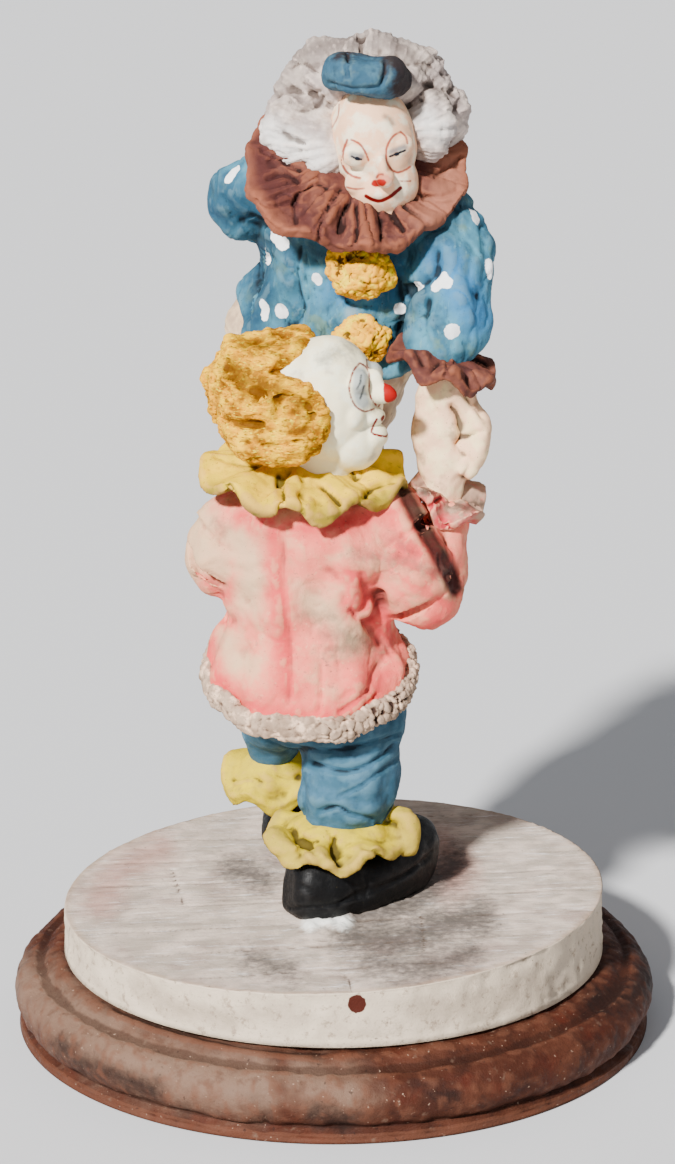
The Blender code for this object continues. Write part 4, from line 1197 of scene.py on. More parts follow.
def tallWristCuffs():
    bm = bmesh.new()
    ruffle(bm, tallCuffs["left"])
    ruffle(bm, tallCuffs["right"])
    cast = fuse("tall_wrist_cuffs", bm, 0.28, rounds=7)
    cast.pleat(tallCuffs["right"], 11, 0.5, 0.3, 8, start=0.4)
    cast.pleat(tallCuffs["left"], 10, 0.4, 0.3, 9)
    cast.handPressed((0.4, 3.0), (0.16, 1.2), (0.05, 0.5))
    cast.press(tallCuffs["creases"])
    cast.finish(brownPaint("brown_cuff_paint").done(grain=0.25, bump=0.12))


ankleCuff = {"height": 10.2, "radius": 5.0, "thick": 1.2, "waves": 7, "lift": 0.8, "turn": (4, 0, 0)}


def tallAnkleCuffs():
    bm = bmesh.new()
    for ankle, *above in tallLegs["legs"]:
        ruffle(bm, {**ankleCuff, "centre": (*ankle, ankleCuff["height"])})
    cast = fuse("tall_ankle_cuffs", bm, 0.36)
    cast.handPressed((0.4, 2.4), (0.15, 1.0))
    cast.finish(brownPaint("brown_ankle_paint").done(grain=0.25, bump=0.12))


blueJacket = {
    "body": [(3.2, 19.0, 81.6, 16.4, 12.4, 0.45), (3.2, 18.8, 83.2, 17.0, 13.0, 0.45),
             (3.3, 17.4, 88.6, 14.9, 12.0, 0.36), (3.5, 15.6, 95.0, 14.0, 10.8, 0.30),
             (3.7, 13.6, 100.5, 13.0, 9.4, 0.25), (3.9, 12.2, 105.5, 9.6, 7.8, 0.2),
             (4.3, 10.6, 110.2, 4.4, 4.4, 0.1)],
    "bentArm": [(-4.0, 13.0, 101.5, 5.4, 5.8), (-9.6, 13.8, 103.2, 4.8, 5.2), (-14.2, 15.6, 101.2, 4.0, 4.6),
                (-12.4, 18.6, 98.8, 4.9, 4.8), (-10.2, 23.4, 96.4, 3.6, 3.6)],
    "hangingArm": [(8.5, 13.0, 101.4, 5.4, 5.8), (14.0, 11.8, 99.4, 5.8, 6.0), (16.2, 10.0, 95.6, 6.4, 6.8),
                   (16.4, 7.0, 89.0, 6.5, 7.0), (16.0, 4.8, 83.6, 6.2, 6.4), (15.8, 3.6, 80.4, 4.6, 4.6),
                   (15.9, 3.0, 78.6, 3.0, 3.0)],
    "creases": [
        (0.55, 0.45, [(300, 248), (297, 272), (300, 300), (299, 318)]),
        (0.3, 0.3, [(306, 254), (305, 280), (308, 298)]),
        (0.9, 0.7, [(438, 252), (436, 272), (424, 284), (412, 290)]),
        (0.8, 0.6, [(412, 286), (404, 310), (400, 336)]),
        (-0.6, 1.2, [(418, 296), (410, 322), (404, 344)]),
        (0.6, 0.9, [(268, 246), (262, 266), (256, 290)]),
        (0.5, 0.6, [(258, 256), (278, 262), (290, 276)]),
        (-0.5, 1.4, [(282, 262), (286, 290), (284, 310)]),
        (0.5, 0.7, [(306, 300), (300, 318), (292, 326)]),
        (0.4, 0.5, [(250, 216), (262, 222), (270, 236)]),
        (0.4, 0.5, [(430, 300), (424, 330), (428, 345)]),
        (0.35, 0.5, [(482, 226), (486, 256), (484, 280)]),
        (-0.5, 1.5, [(452, 260), (462, 290), (470, 320)]),
        (0.35, 0.6, [(474, 250), (468, 282), (480, 300)]),
        (0.4, 0.5, [(342, 296), (352, 306), (372, 306)]),
        (0.5, 0.8, [(222, 200), (240, 220), (256, 226)]),
    ],
    # white dots that show in the photograph: radius in mm and pixel
    "dots": [(0.75, [(229, 178), (236, 170)]), (1.15, [(276, 236), (282, 242)]), (0.95, [(318, 279)]),
             (0.55, [(263, 302), (266, 310), (264, 318)]), (1.15, [(281, 311)]), (0.95, [(401, 309)]),
             (0.8, [(436, 286), (443, 277), (448, 284)]), (0.85, [(474, 213), (476, 220)]),
             (0.7, [(489, 262), (491, 274)]), (1.15, [(453, 332)])],
    "faintDots": [(0.9, [(351, 313)])],
    "drips": [(0.13, [(376, 318), (380, 332), (384, 342)]), (0.12, [(384, 322), (386, 334)]),
              (0.13, [(390, 326), (392, 340), (391, 346)])],
    "shade": [(1.6, [(262, 236), (290, 246), (320, 250)]),
              (1.6, [(404, 250), (430, 244), (452, 222), (462, 196)]),
              (1.0, [(438, 256), (434, 274), (418, 290), (408, 310), (402, 336)]),
              (0.9, [(392, 262), (394, 284), (384, 298)]),
              (0.8, [(262, 246), (262, 268), (254, 296)])],
    # painted shade on the left sleeve and the left of the jacket
    "shadedLeft": [(3.4, [(212, 196), (232, 206), (246, 214)]),
                 (2.6, [(262, 250), (260, 300), (256, 318)])],
    "lightBlue": [(2.6, [(440, 262), (462, 290), (478, 320)]),
                  (2.0, [(336, 286), (372, 292), (392, 276)])],
    # dots on the far sides: how far apart, their radius and the chance they are laid by
    "hiddenDots": (8.5, 1.25, 17), "farSide": -0.50,
}


def hiddenDots(cast, spacing, radius, seed):
    # more dots on the sides that the camera doesn't see, none too near another
    chance = np.random.default_rng(seed)
    chosen = []
    for index in chance.permutation(len(cast.points)):
        if cast.facing[index] > blueJacket["farSide"]:
            continue
        point = cast.points[index]
        if all(np.linalg.norm(point - other) > spacing for other in chosen):
            chosen.append(point)
    nearest = np.full(len(cast.points), marking["far"])
    for point in chosen:
        size = radius * chance.uniform(0.8, 1.15)
        nearest = np.minimum(nearest, np.linalg.norm(cast.points - point, axis=1) - size)
    return nearest


def tallBlueJacket():
    bm = bmesh.new()
    garment(bm, blueJacket["body"], folds=7, foldDepth=0.05, crease=0.12)
    limb(bm, blueJacket["bentArm"], crease=0.14)
    limb(bm, blueJacket["hangingArm"], crease=0.14)
    cast = fuse("tall_jacket", bm, 0.38, rounds=7)
    cast.handPressed((0.7, 7.0), (0.14, 2.6), (0.07, 0.9))
    cast.wrinkle(0.20, 6.5, (1.3, 1, 0.4), 0.05)
    cast.wrinkle(0.18, 3.4, (1, 1, 0.6), 0.045)
    cast.press(blueJacket["creases"])
    cast.drawnEach(blueJacket, "faintDots", "drips", "shade", "shadedLeft", "lightBlue")
    hidden = hiddenDots(cast, *blueJacket["hiddenDots"])
    cast.mark("dots", np.minimum(cast.dotted(blueJacket["dots"]), hidden))
    paint = Finish("blue_jacket_paint", rgb(112, 172, 190))
    paint.patches(rgb(146, 198, 208), 3.6, 0.38, 0.64, 0.9, stretch=(1, 1, 0.6))
    paint.patches(rgb(80, 134, 158), 2.4, 0.50, 0.72, 0.7, shift=2)
    paint.patches(rgb(176, 196, 180), 3.0, 0.54, 0.72, 0.6, shift=4)
    paint.patches(rgb(84, 140, 178), 4.6, 0.56, 0.76, 0.5, shift=6)
    paint.patches(rgb(178, 206, 208), 0.9, 0.60, 0.72, 0.5, shift=12, stretch=(1, 1, 0.4))
    paint.patches(rgb(66, 112, 136), 0.8, 0.62, 0.74, 0.5, shift=15, stretch=(1, 1, 0.4))
    # painted shade on the left sleeve and the left of the jacket
    paint.stroke("shadedLeft", rgb(66, 120, 148), soft=2.4, ragged=3.4, amount=0.8, size=2.6)
    paint.stroke("lightBlue", rgb(110, 186, 212), soft=2.0, ragged=3.4, amount=0.75, size=2.6)
    paint.stroke("shade", rgb(58, 88, 108), soft=1.4, ragged=1.8, amount=0.6, size=2.0)
    paint.dirtAndShade(rgb(30, 44, 54), 0.08, 0.42, 0.9)
    paint.worn(rgb(166, 192, 198), 0.04, 0.12, 0.35)
    paint.patches(rgb(40, 60, 78), 0.35, 0.64, 0.73, 0.55, shift=8)
    paint.stroke("faintDots", rgb(196, 206, 208), soft=0.5, ragged=0.9, amount=0.6)
    paint.stroke("dots", rgb(246, 246, 248), soft=0.06, ragged=0.75, size=1.0)
    paint.stroke("drips", rgb(20, 16, 16), soft=0.06, ragged=0.2)
    cast.finish(paint.done(grain=0.22, bump=0.12))


pompoms = {"upper": ((4.1, 3.2, 92.2), (4.6, 3.2, 3.3)), "lower": ((3.9, 4.6, 82.2), (4.2, 3.0, 3.4)),
           "upperTop": ((2.0, 4.0, 94.6), (3.0, 2.2, 1.8))}


def tallPompoms():
    bm = bmesh.new()
    for centre, radii in pompoms.values():
        ball(bm, centre, radii, lumps=1.0, lumpSize=2.4, detail=5)
    cast = fuse("pompoms", bm, 0.20, rounds=3)
    # a crinkled, crackled yarn
    tangled = (cast.points + 0.8 * softNoise(cast.points, 1.2)[:, None]) / 1.25
    cast.move(0.30 * crackled(tangled, 0.25) - 0.18)
    cast.handPressed((0.35, 1.7), (0.16, 0.7), (0.06, 0.35))
    paint = Finish("pompom_yellow_paint", rgb(230, 216, 30))
    paint.patches(rgb(238, 228, 64), 1.4, 0.46, 0.64, 0.7)
    paint.patches(rgb(214, 182, 14), 2.2, 0.48, 0.72, 0.8, shift=2)
    paint.dirtAndShade(rgb(138, 88, 16), 0.0, 0.18, 0.9)
    paint.dirtAndShade(rgb(96, 58, 10), 0.16, 0.40, 0.7)
    paint.worn(rgb(234, 214, 70), 0.04, 0.10, 0.5)
    cast.finish(paint.done(grain=0.2, bump=0.14))


clasp = {
    "glove": [(15.9, 2.8, 78.0, 3.2, 3.0), (16.2, 2.4, 74.6, 4.2, 3.2), (16.4, 2.0, 70.5, 4.9, 3.2),
              (16.2, 1.5, 66.0, 4.5, 3.0), (16.0, 1.0, 62.2, 3.0, 2.6), (16.0, 0.6, 58.5, 2.4, 2.2)],
    "finger": [(18.6, 1.8, 73.5, 1.6, 1.8), (20.6, 1.0, 70.6, 2.0, 2.2), (20.4, 0.2, 66.8, 1.9, 2.0),
               (18.4, -0.4, 63.8, 1.5, 1.5)],
    "behindHand": [(-9.2, 25.0, 95.0, 2.2, 2.2), (-6.4, 28.6, 92.6, 2.8, 2.2), (-3.4, 30.2, 90.6, 3.0, 2.0),
                   (-1.0, 30.6, 89.4, 1.4, 1.2)],
    "hiddenFingers": 4, "fingersApart": 0.9, "fingerThick": 0.9,
    "creases": [(1.2, 0.6, [(452, 408), (460, 420), (462, 436), (458, 444)]),
                (0.5, 0.35, [(458, 444), (468, 436), (482, 432)]),
                (0.5, 0.4, [(462, 392), (472, 404), (482, 416)]),
                (0.4, 0.4, [(458, 450), (470, 462), (464, 478)]),
                (0.3, 0.3, [(430, 400), (436, 412)]), (-0.4, 0.8, [(474, 414), (482, 434), (480, 452)])],
}


def tallGloves():
    bm = bmesh.new()
    limb(bm, clasp["glove"], crease=0.10)
    limb(bm, clasp["finger"], crease=0.08)
    limb(bm, clasp["behindHand"])
    for finger in range(clasp["hiddenFingers"]):
        along = clasp["fingersApart"] * finger
        path = [(-5.6 + along, 29.0, 93.4 - along), (-3.6 + along, 30.8, 92.2 - along),
                (-1.6 + along, 31.0, 90.6 - along)]
        gloveFinger(bm, path, clasp["fingerThick"])
    cast = fuse("tall_gloves", bm, 0.30)
    cast.handPressed((0.35, 3.0), (0.12, 1.0), (0.04, 0.4))
    cast.press(clasp["creases"])
    cast.finish(glovePaint("glove_paint"))


tallFace = {
    "centre": (4.9, 7.6, 110.2), "turn": (14, -10, 12),
    "forms": [((0.8, 0, 0.2), (6.1, 7.8, 8.8)), ((0.6, 4.0, -4.6), (5.4, 4.4, 4.9)),
              ((0, 8.6, -1.7), (1.4, 1.9, 1.3)), ((0, 8.0, -0.4), (0.9, 1.5, 2.2)),
              ((0, 7.0, -4.2), (3.1, 1.6, 1.2)), ((0.6, 5.4, -7.9), (2.6, 2.2, 1.7))],
    "pairs": [((2.7, 6.1, 1.6), (2.5, 1.3, 1.9)), ((2.8, 5.5, -2.9), (2.4, 1.5, 2.1))],
    "ovals": [(0.18, [(347.2, 140), (343.3, 151.5), (342.3, 163.4), (346.2, 171.3), (353.2, 176.2),
                      (360, 178.2)]),
              (0.16, [(351.2, 139.7), (359.1, 143.6), (365, 151.5), (368.6, 160.4)]),
              (0.16, [(400.6, 131.8), (392.7, 136.7), (386.8, 147.6), (386.4, 159.4), (389.7, 167.4),
                      (396.7, 172.3), (404.6, 170.3), (410.5, 166.4)]),
              (0.15, [(400.6, 131.8), (405.6, 136.7), (407.5, 143.6)])],
    "lids": [(0.45, [(352, 155), (361, 156.5)]), (0.4, [(391, 152), (404, 147)])],
    "slits": [(0.16, [(351.5, 156.2), (356, 158.6), (361.5, 159.4)]),
              (0.16, [(389.7, 156.5), (396.7, 153.8), (405, 150.5)]),
              (0.28, [(356.6, 158.4), (358, 158.8)]), (0.28, [(396, 154.2), (397.6, 153.8)])],
    "brow": [(0.35, [(384.8, 116.5), (389, 118.5), (392.5, 123.5)])],
    "noseTip": [(0.50, [(374.8, 183.4), (382.5, 182.8)])],
    "noseGlow": [(0.7, [(380, 177), (387, 179)])],
    "mouth": [(0.27, [(366, 196), (372.9, 199.8), (380.8, 200.8), (389.7, 196.8), (396.7, 191.3),
                      (400.6, 188)])],
    "cheekLines": [(0.13, [(346.5, 187), (355, 189), (364, 188.4)]), (0.13, [(400, 181.2), (410.5, 181)]),
                   (0.10, [(339, 104), (338, 116), (332, 128)])],
    "noseLines": [(0.14, [(376.5, 177.6), (379, 174.6), (383, 174.6)])],
}


def tallHead():
    bm = bmesh.new()
    headForms(bm, tallFace)
    cast = fuse("tall_head", bm, 0.23)
    cast.handPressed((0.2, 4.0), (0.07, 1.4))
    cast.drawnEach(tallFace, "ovals", "lids", "slits", "brow", "noseTip", "noseGlow", "mouth", "cheekLines",
                   "noseLines")
    paint = facePaint("tall_face_paint", rgb(230, 221, 208))
    paint.dirtAndShade(rgb(156, 134, 114), 0.08, 0.5, 0.55)
    paint.stroke("brow", rgb(132, 124, 122), soft=0.35, ragged=0.4, amount=0.6)
    paint.stroke("lids", rgb(160, 172, 182), soft=0.35, amount=0.75)
    paint.stroke("slits", rgb(34, 44, 66), soft=0.09, ragged=0.12)
    paint.stroke("ovals", rgb(200, 84, 56), soft=0.11, ragged=0.16, amount=0.9)
    paint.stroke("cheekLines", rgb(200, 88, 62), soft=0.10, ragged=0.15, amount=0.85)
    paint.stroke("noseGlow", rgb(214, 118, 70), soft=0.4, ragged=0.3, amount=0.7)
    paint.stroke("noseLines", rgb(170, 44, 34), soft=0.10, amount=0.8)
    paint.stroke("noseTip", rgb(200, 40, 16), soft=0.12, ragged=0.3)
    paint.stroke("mouth", rgb(170, 14, 18), soft=0.09, ragged=0.12)
    cast.finish(paint.done(rough=(0.45, 0.65), grain=0.35, bump=0.05))


mane = {
    "centre": (4.6, 14.0, 113.2), "radii": (14.5, 6.2, 12.3), "pitch": 10, "lumps": 1.5, "lumpSize": 5.2,
    "sides": [((-4.8, 9.6, 111.6), (5.8, 4.0, 5.6), 10), ((-1.2, 6.9, 109.6), (3.6, 3.0, 4.6), -28),
              ((13.6, 9.2, 112.6), (3.8, 3.8, 5.4), 0), ((4.8, 9.4, 118.8), (8.6, 4.4, 4.2), 0),
              ((3.8, 17.4, 115.6), (12.6, 4.8, 6.4), 0)],
    # combed outward from the face in wavy ridges
    "combs": 34, "combDepth": 0.20, "combWander": 3.4, "fineCombs": 96, "fineDepth": 0.07, "fineWander": 4.5,
    "combedFrom": 2.6,          # below the centre
    "combFade": (3.0, 8.0),
    "creases": [(0.5, 0.4, [(288, 100), (300, 110), (316, 106), (322, 98)]),
                (0.4, 0.35, [(292, 88), (306, 94), (320, 92)]),
                (0.5, 0.35, [(292, 66), (304, 62), (318, 72)]),
                (0.9, 0.7, [(361, 34), (361, 44), (363, 54)]),
                (0.4, 0.35, [(416, 62), (432, 66), (448, 78)]),
                (0.4, 0.35, [(424, 84), (442, 88), (456, 96)]),
                (0.5, 0.4, [(452, 88), (460, 98), (456, 108)]),
                (0.35, 0.3, [(420, 100), (436, 106), (450, 110)]),
                (0.4, 0.4, [(276, 128), (290, 138), (304, 144)]), (0.4, 0.35, [(430, 50), (444, 62)])],
    # painted shade over the mane's top, and painted light low on its left and right
    "shadedTop": [(3.0, [(282, 80), (300, 60), (332, 44), (372, 40), (408, 50)])],
    "litLow": [(2.0, [(266, 132), (288, 148), (314, 158)]), (1.8, [(426, 122), (438, 128)])],
    "shade": [(0.9, [(296, 102), (308, 108), (320, 104)]), (0.8, [(296, 58), (320, 46), (350, 44)]),
              (0.7, [(392, 44), (412, 56), (424, 72)]), (0.7, [(418, 78), (440, 92), (456, 102)])],
}


def tallMane():
    bm = bmesh.new()
    turn = turned(pitch=mane["pitch"])
    centre = Vector(mane["centre"])
    ball(bm, centre, mane["radii"], turn, lumps=mane["lumps"], lumpSize=mane["lumpSize"], detail=6)
    for spot, radii, roll in mane["sides"]:
        ball(bm, spot, radii, turned(roll=roll), lumps=0.7, lumpSize=3.4, detail=5)
    cast = fuse("tall_mane", bm, 0.30, rounds=8)
    cast.handPressed((0.25, 3.0))
    across = cast.points[:, 0] - centre.x
    up = cast.points[:, 2] - centre.z + mane["combedFrom"]
    around, reach = np.arctan2(up, across), np.hypot(across, up)
    comb = np.sin(mane["combs"] * around + mane["combWander"] * softNoise(cast.points, 4.2))
    fine = np.sin(mane["fineCombs"] * around + mane["fineWander"] * softNoise(cast.points, 2.6, 3.0))
    uneven = 0.7 + 0.6 * softNoise(cast.points, 3.0)
    ridges = mane["combDepth"] * comb * uneven + mane["fineDepth"] * fine
    cast.move(eased(reach, *mane["combFade"]) * ridges)
    cast.handPressed((0.16, 1.5), (0.14, 0.8), (0.07, 0.4))
    cast.press(mane["creases"])
    cast.drawnEach(mane, "shade", "shadedTop", "litLow")
    paint = Finish("white_mane_paint", rgb(212, 206, 203))
    paint.patches(rgb(228, 225, 222), 3.4, 0.42, 0.66, 0.8)
    paint.patches(rgb(186, 170, 158), 3.2, 0.50, 0.74, 0.7, shift=2)
    # painted shade over the top, then painted light low on the left and right
    paint.stroke("shadedTop", rgb(190, 182, 176), soft=2.6, ragged=4.0, amount=0.6, size=1.6)
    paint.stroke("litLow", rgb(232, 231, 230), soft=2.2, ragged=3.6, amount=0.6, size=1.6)
    paint.stroke("shade", rgb(134, 118, 112), soft=1.0, ragged=1.8, amount=0.55, size=1.2)
    paint.dirtAndShade(rgb(138, 120, 110), 0.06, 0.36, 0.8)
    paint.dirtAndShade(rgb(72, 58, 52), 0.34, 0.8, 0.7)
    paint.worn(rgb(228, 224, 221), 0.04, 0.26, 0.5)
    cast.finish(paint.done(grain=0.3, bump=0.16))


hat = {
    "spot": (0.8, 0.8, 10.9), "turn": (-3, 6, 0), "squash": 0.9, "corners": 60,
    "profile": [(-2.9, 3.6), (-2.5, 4.9), (-1.3, 6.0), (0.3, 6.4), (1.6, 5.7), (2.4, 4.4), (2.5, 2.6)],
    "creases": [(0.7, 0.35, [(348, 50), (349, 60)]), (0.7, 0.35, [(386, 60), (386, 72), (382, 84)]),
                (0.4, 0.3, [(346, 66), (347, 76)]), (0.4, 0.4, [(330, 84), (352, 90), (380, 88)])],
    # painted shadow on the hat's right side and across the back of its top, and painted shade in its creases
    "hatShadow": [(1.9, [(394, 54), (405, 62), (409, 76), (404, 88)]), (0.5, [(346, 50), (348, 58)]),
                 (0.4, [(386, 58), (384, 74)]), (0.5, [(336, 56), (360, 51), (388, 54)])],
}


def tallHat():
    head = turned(*tallFace["turn"])
    side, front, up = hat["spot"]
    centre = Vector(tallFace["centre"]) + head @ Vector((side, -front, up))
    turn = turned(*hat["turn"])
    rings = []
    for height, radius in smoothBetween(hat["profile"], 4):
        ring = []
        for corner in range(hat["corners"]):
            angle = math.tau * corner / hat["corners"]
            spot = Vector((math.cos(angle) * radius, math.sin(angle) * radius * hat["squash"], height))
            ring.append(centre + turn @ spot)
        rings.append(ring)
    bm = bmesh.new()
    skin(bm, rings)
    cast = fuse("tall_hat", bm, 0.26, rounds=8)
    cast.handPressed((0.6, 3.4), (0.18, 1.4), (0.05, 0.5))
    cast.press(hat["creases"])
    cast.drawnEach(hat, "hatShadow")
    paint = Finish("blue_hat_paint", rgb(98, 146, 168))
    paint.patches(rgb(124, 168, 182), 2.0, 0.44, 0.68, 0.7)
    paint.patches(rgb(76, 118, 142), 1.6, 0.50, 0.72, 0.8, shift=2)
    paint.dirtAndShade(rgb(36, 42, 48), 0.06, 0.35, 0.85)
    paint.worn(rgb(168, 190, 190), 0.04, 0.12, 0.35)
    # painted shadow on the right side and back of the top, and painted shade in the creases
    paint.stroke("hatShadow", rgb(84, 62, 54), soft=0.8, ragged=2.0, amount=0.92, size=0.9)
    cast.finish(paint.done(grain=0.25, bump=0.10))


# The base

def gridMesh(name, rings):
    # closes rings of points, whose first and last ring each fan to a middle point
    count = len(rings[0])
    points = [point for ring in rings for point in ring]
    faces = []
    for layer in range(len(rings) - 1):
        for index in range(count):
            beside = (index + 1) % count
            low, high = layer * count, (layer + 1) * count
            faces.append((low + index, high + index, high + beside, low + beside))
    for layer in (0, len(rings) - 1):
        ring = rings[layer]
        middle = tuple(sum(point[axis] for point in ring) / count for axis in range(3))
        points.append(middle)
        for index in range(count):
            edge = (layer * count + index, layer * count + (index + 1) % count, len(points) - 1)
            faces.append(edge if layer == 0 else edge[::-1])
    mesh = bpy.data.meshes.new(name)
    mesh.from_pydata([(x * mm, y * mm, (z + floorTop) * mm) for x, y, z in points], [], faces)
    mesh.update()
    return Casting(name, mesh)


floorMarks = {
    "joints": [[(420, 915), (423, 932), (424, 950)], [(345, 974), (350, 984), (354, 997)],
               [(172, 870), (178, 888), (182, 902)]],
    "smears": [(2.2, [(345, 918), (385, 912), (430, 890), (452, 862)]), (1.8, [(236, 870), (262, 878)]),
               (2.4, [(350, 936), (400, 940), (440, 926), (480, 918)]),
               (1.6, [(372, 962), (420, 968), (470, 952)]),
               (1.2, [(250, 958), (290, 972)])],
    "stain": [(3.0, [(440, 850), (458, 868), (452, 880)]), (2.4, [(100, 900), (120, 870), (160, 850)])],
    "wallDirt": [(1.2, [(140, 984), (170, 1006), (230, 1022)]),
                 (1.6, [(420, 1010), (470, 1004), (540, 980)]),
                 (1.0, [(250, 1010), (300, 1020)])],
    "blob": [(0.9, 1.5, [(312, 924), (326, 918), (342, 921)]),
             (0.35, 0.9, [(352, 914), (372, 908), (392, 900)])],
    "blobWhite": [(1.0, [(310, 924), (326, 918), (344, 921)])],
    "wallCrack": [(323, 1000), (327, 1020), (325, 1036), (330, 1048)],
    "spot": [(1.30, [(357, 1004)])],
    # depth and half width of the seams, the joints across the boards and the crack in the wall
    "seamCut": (0.20, 0.30), "jointCut": (0.30, 0.28), "crackCut": (0.28, 0.22),
    "rimStain": (38.6, 40.0),         # from the middle of the disc
    # streaks along the boards: size, detail, roughness, stretch, shift, from, to and colour
    "streaks": [(5.0, 5, 0.75, (0.8, 6.0, 1), 0, 0.50, 0.72, (188, 178, 172)),
                (2.2, 6, 0.80, (0.6, 6.0, 1), 3, 0.57, 0.68, (116, 104, 100)),
                (3.0, 5, 0.75, (0.5, 5.0, 1), 7, 0.54, 0.70, (238, 236, 234))],
}


def boardSeams(points):
    # distance to the nearest seam between boards
    radius = floorDisc["radius"]
    board = 2 * radius / floorDisc["boards"]
    nearest = np.full(len(points), marking["far"])
    for index in range(1, floorDisc["boards"]):
        turn = math.radians(floorDisc["boardFan"] * (index - floorDisc["boards"] / 2) * -0.5)
        back = -radius + board * index
        away = np.abs((points[:, 1] - back) * math.cos(turn) - points[:, 0] * math.sin(turn))
        nearest = np.minimum(nearest, away)
    return nearest


def plankedDisc():
    radius, edge, count = floorDisc["radius"], floorDisc["edgeRound"], floorDisc["segments"]
    bottom = discLow.z / mm - floorTop
    rings = []
    for ring in range(1, floorDisc["topRings"] + 1):
        reach = (radius - edge) * ring / floorDisc["topRings"]
        rings.append((reach, 0.0, False))
    for step in range(1, floorDisc["edgeRings"] + 1):
        angle = math.pi / 2 * step / floorDisc["edgeRings"]
        rings.append((radius - edge + edge * math.sin(angle), -edge * (1 - math.cos(angle)), False))
    for step in range(1, floorDisc["wallRings"] + 1):
        rings.append((radius, step / floorDisc["wallRings"], True))
    rows = []
    for reach, drop, wall in rings:
        row = []
        for corner in range(count):
            angle = math.tau * corner / count
            x, y = math.cos(angle) * reach, math.sin(angle) * reach
            top = x * floorSlope
            z = (top - edge) * (1 - drop) + bottom * drop if wall else top + drop
            row.append((x, y, z))
        rows.append(row)
    cast = gridMesh("floor_boards", rows)
    points = cast.points
    top = eased(cast.normals[:, 2], 0.6, 0.9)
    wall = eased(np.abs(cast.normals[:, 2]), 0.7, 0.3)
    grain = softNoise(points * (0.14, 1.3, 0), 1.0) + 0.7 * softNoise(points * (0.30, 2.6, 0), 1.0, 4.0)
    seams = boardSeams(points)
    seamDepth, seamHalf = floorMarks["seamCut"]
    push = top * (0.13 * grain - seamDepth * groove(seams, seamHalf) + 0.14 * softNoise(points, 6.0) - 0.1)
    push += top * (0.06 * softNoise(points, 1.1) + 0.04 * softNoise(points, 0.6))
    for raised, half, line in floorMarks["blob"]:
        away = lineDistance(cast.pixels, line) * cast.pixelSize
        lumpy = 1 + 0.9 * softNoise(points, 1.3)
        push += top * raised * lumpy * groove(away, half)
    jointDepth, jointHalf = floorMarks["jointCut"]
    for joint in floorMarks["joints"]:
        away = lineDistance(cast.pixels, joint) * cast.pixelSize
        push -= jointDepth * top * groove(away, jointHalf)
    lumps = 0.36 * softNoise(points, 5.0) + 0.34 * softNoise(points, 2.2) + 0.2 * softNoise(points, 0.9)
    push += wall * (lumps - 0.34)
    crackDepth, crackHalf = floorMarks["crackCut"]
    crack = lineDistance(cast.pixels, floorMarks["wallCrack"]) * cast.pixelSize
    push -= wall * eased(cast.facing, 0, 0.2) * crackDepth * groove(crack, crackHalf)
    cast.move(push)
    rim = np.hypot(cast.points[:, 0], cast.points[:, 1])
    cast.mark("rim", rim + 0.5 * softNoise(cast.points, 2.5))
    cast.mark("seams", seams)
    cast.mark("top", top)
    cast.drawnEach(floorMarks, "smears", "stain", "spot", "blobWhite", "wallDirt")
    cast.drawn("joints", [(0.12, joint) for joint in floorMarks["joints"]])
    paint = Finish("white_board_paint", rgb(215, 210, 204))
    paint.patches(rgb(225, 221, 217), 5.0, 0.38, 0.64, 0.8)
    paint.patches(rgb(200, 186, 179), 8.0, 0.46, 0.74, 0.6, shift=2)
    onTop = paint.read("top")
    for size, detail, rough, stretch, shift, low, high, colour in floorMarks["streaks"]:
        streak = paint.between(paint.noise(size, detail, rough, stretch=stretch, shift=shift), low, high)
        paint.coat(paint.sum("MULTIPLY", streak, paint.between(onTop, 0, 1, 0, 0.5)), rgb(*colour))
    paint.stroke("seams", rgb(160, 146, 136), soft=0.35, ragged=1.1, amount=0.3, size=2.0)
    paint.stroke("stain", rgb(208, 170, 158), soft=2.4, ragged=4.0, amount=0.5, size=2.4)
    paint.stroke("smears", rgb(104, 98, 96), soft=2.6, ragged=6.0, amount=0.8, size=1.1)
    paint.stroke("joints", rgb(84, 50, 40), soft=0.12, ragged=0.3, amount=0.9)
    paint.coat(paint.between(paint.read("rim"), *floorMarks["rimStain"], 0, 0.45), rgb(206, 190, 168))
    clean = paint.between(onTop, 0.2, 0.6, 0.85, 0)
    paint.coat(clean, rgb(223, 219, 212))
    rough = paint.between(paint.noise(1.6, 5, 0.75, shift=6), 0.52, 0.70)
    paint.coat(paint.sum("MULTIPLY", rough, clean), rgb(196, 184, 170))
    paint.stroke("wallDirt", rgb(170, 152, 138), soft=1.6, ragged=3.0, amount=0.35, size=1.4)
    paint.dirtAndShade(rgb(140, 120, 102), 0.04, 0.24, 0.55)
    paint.patches(rgb(84, 68, 58), 0.5, 0.65, 0.75, 0.6, shift=8)
    paint.stroke("blobWhite", rgb(236, 234, 230), soft=0.8, ragged=1.6, amount=0.95, size=1.0)
    paint.stroke("spot", rgb(122, 58, 42), soft=0.08, ragged=0.35)
    done = paint.done(grain=0.4, bump=0.16)
    cast.finish(done, "white_plaster", "floor_disc", clamp=False)


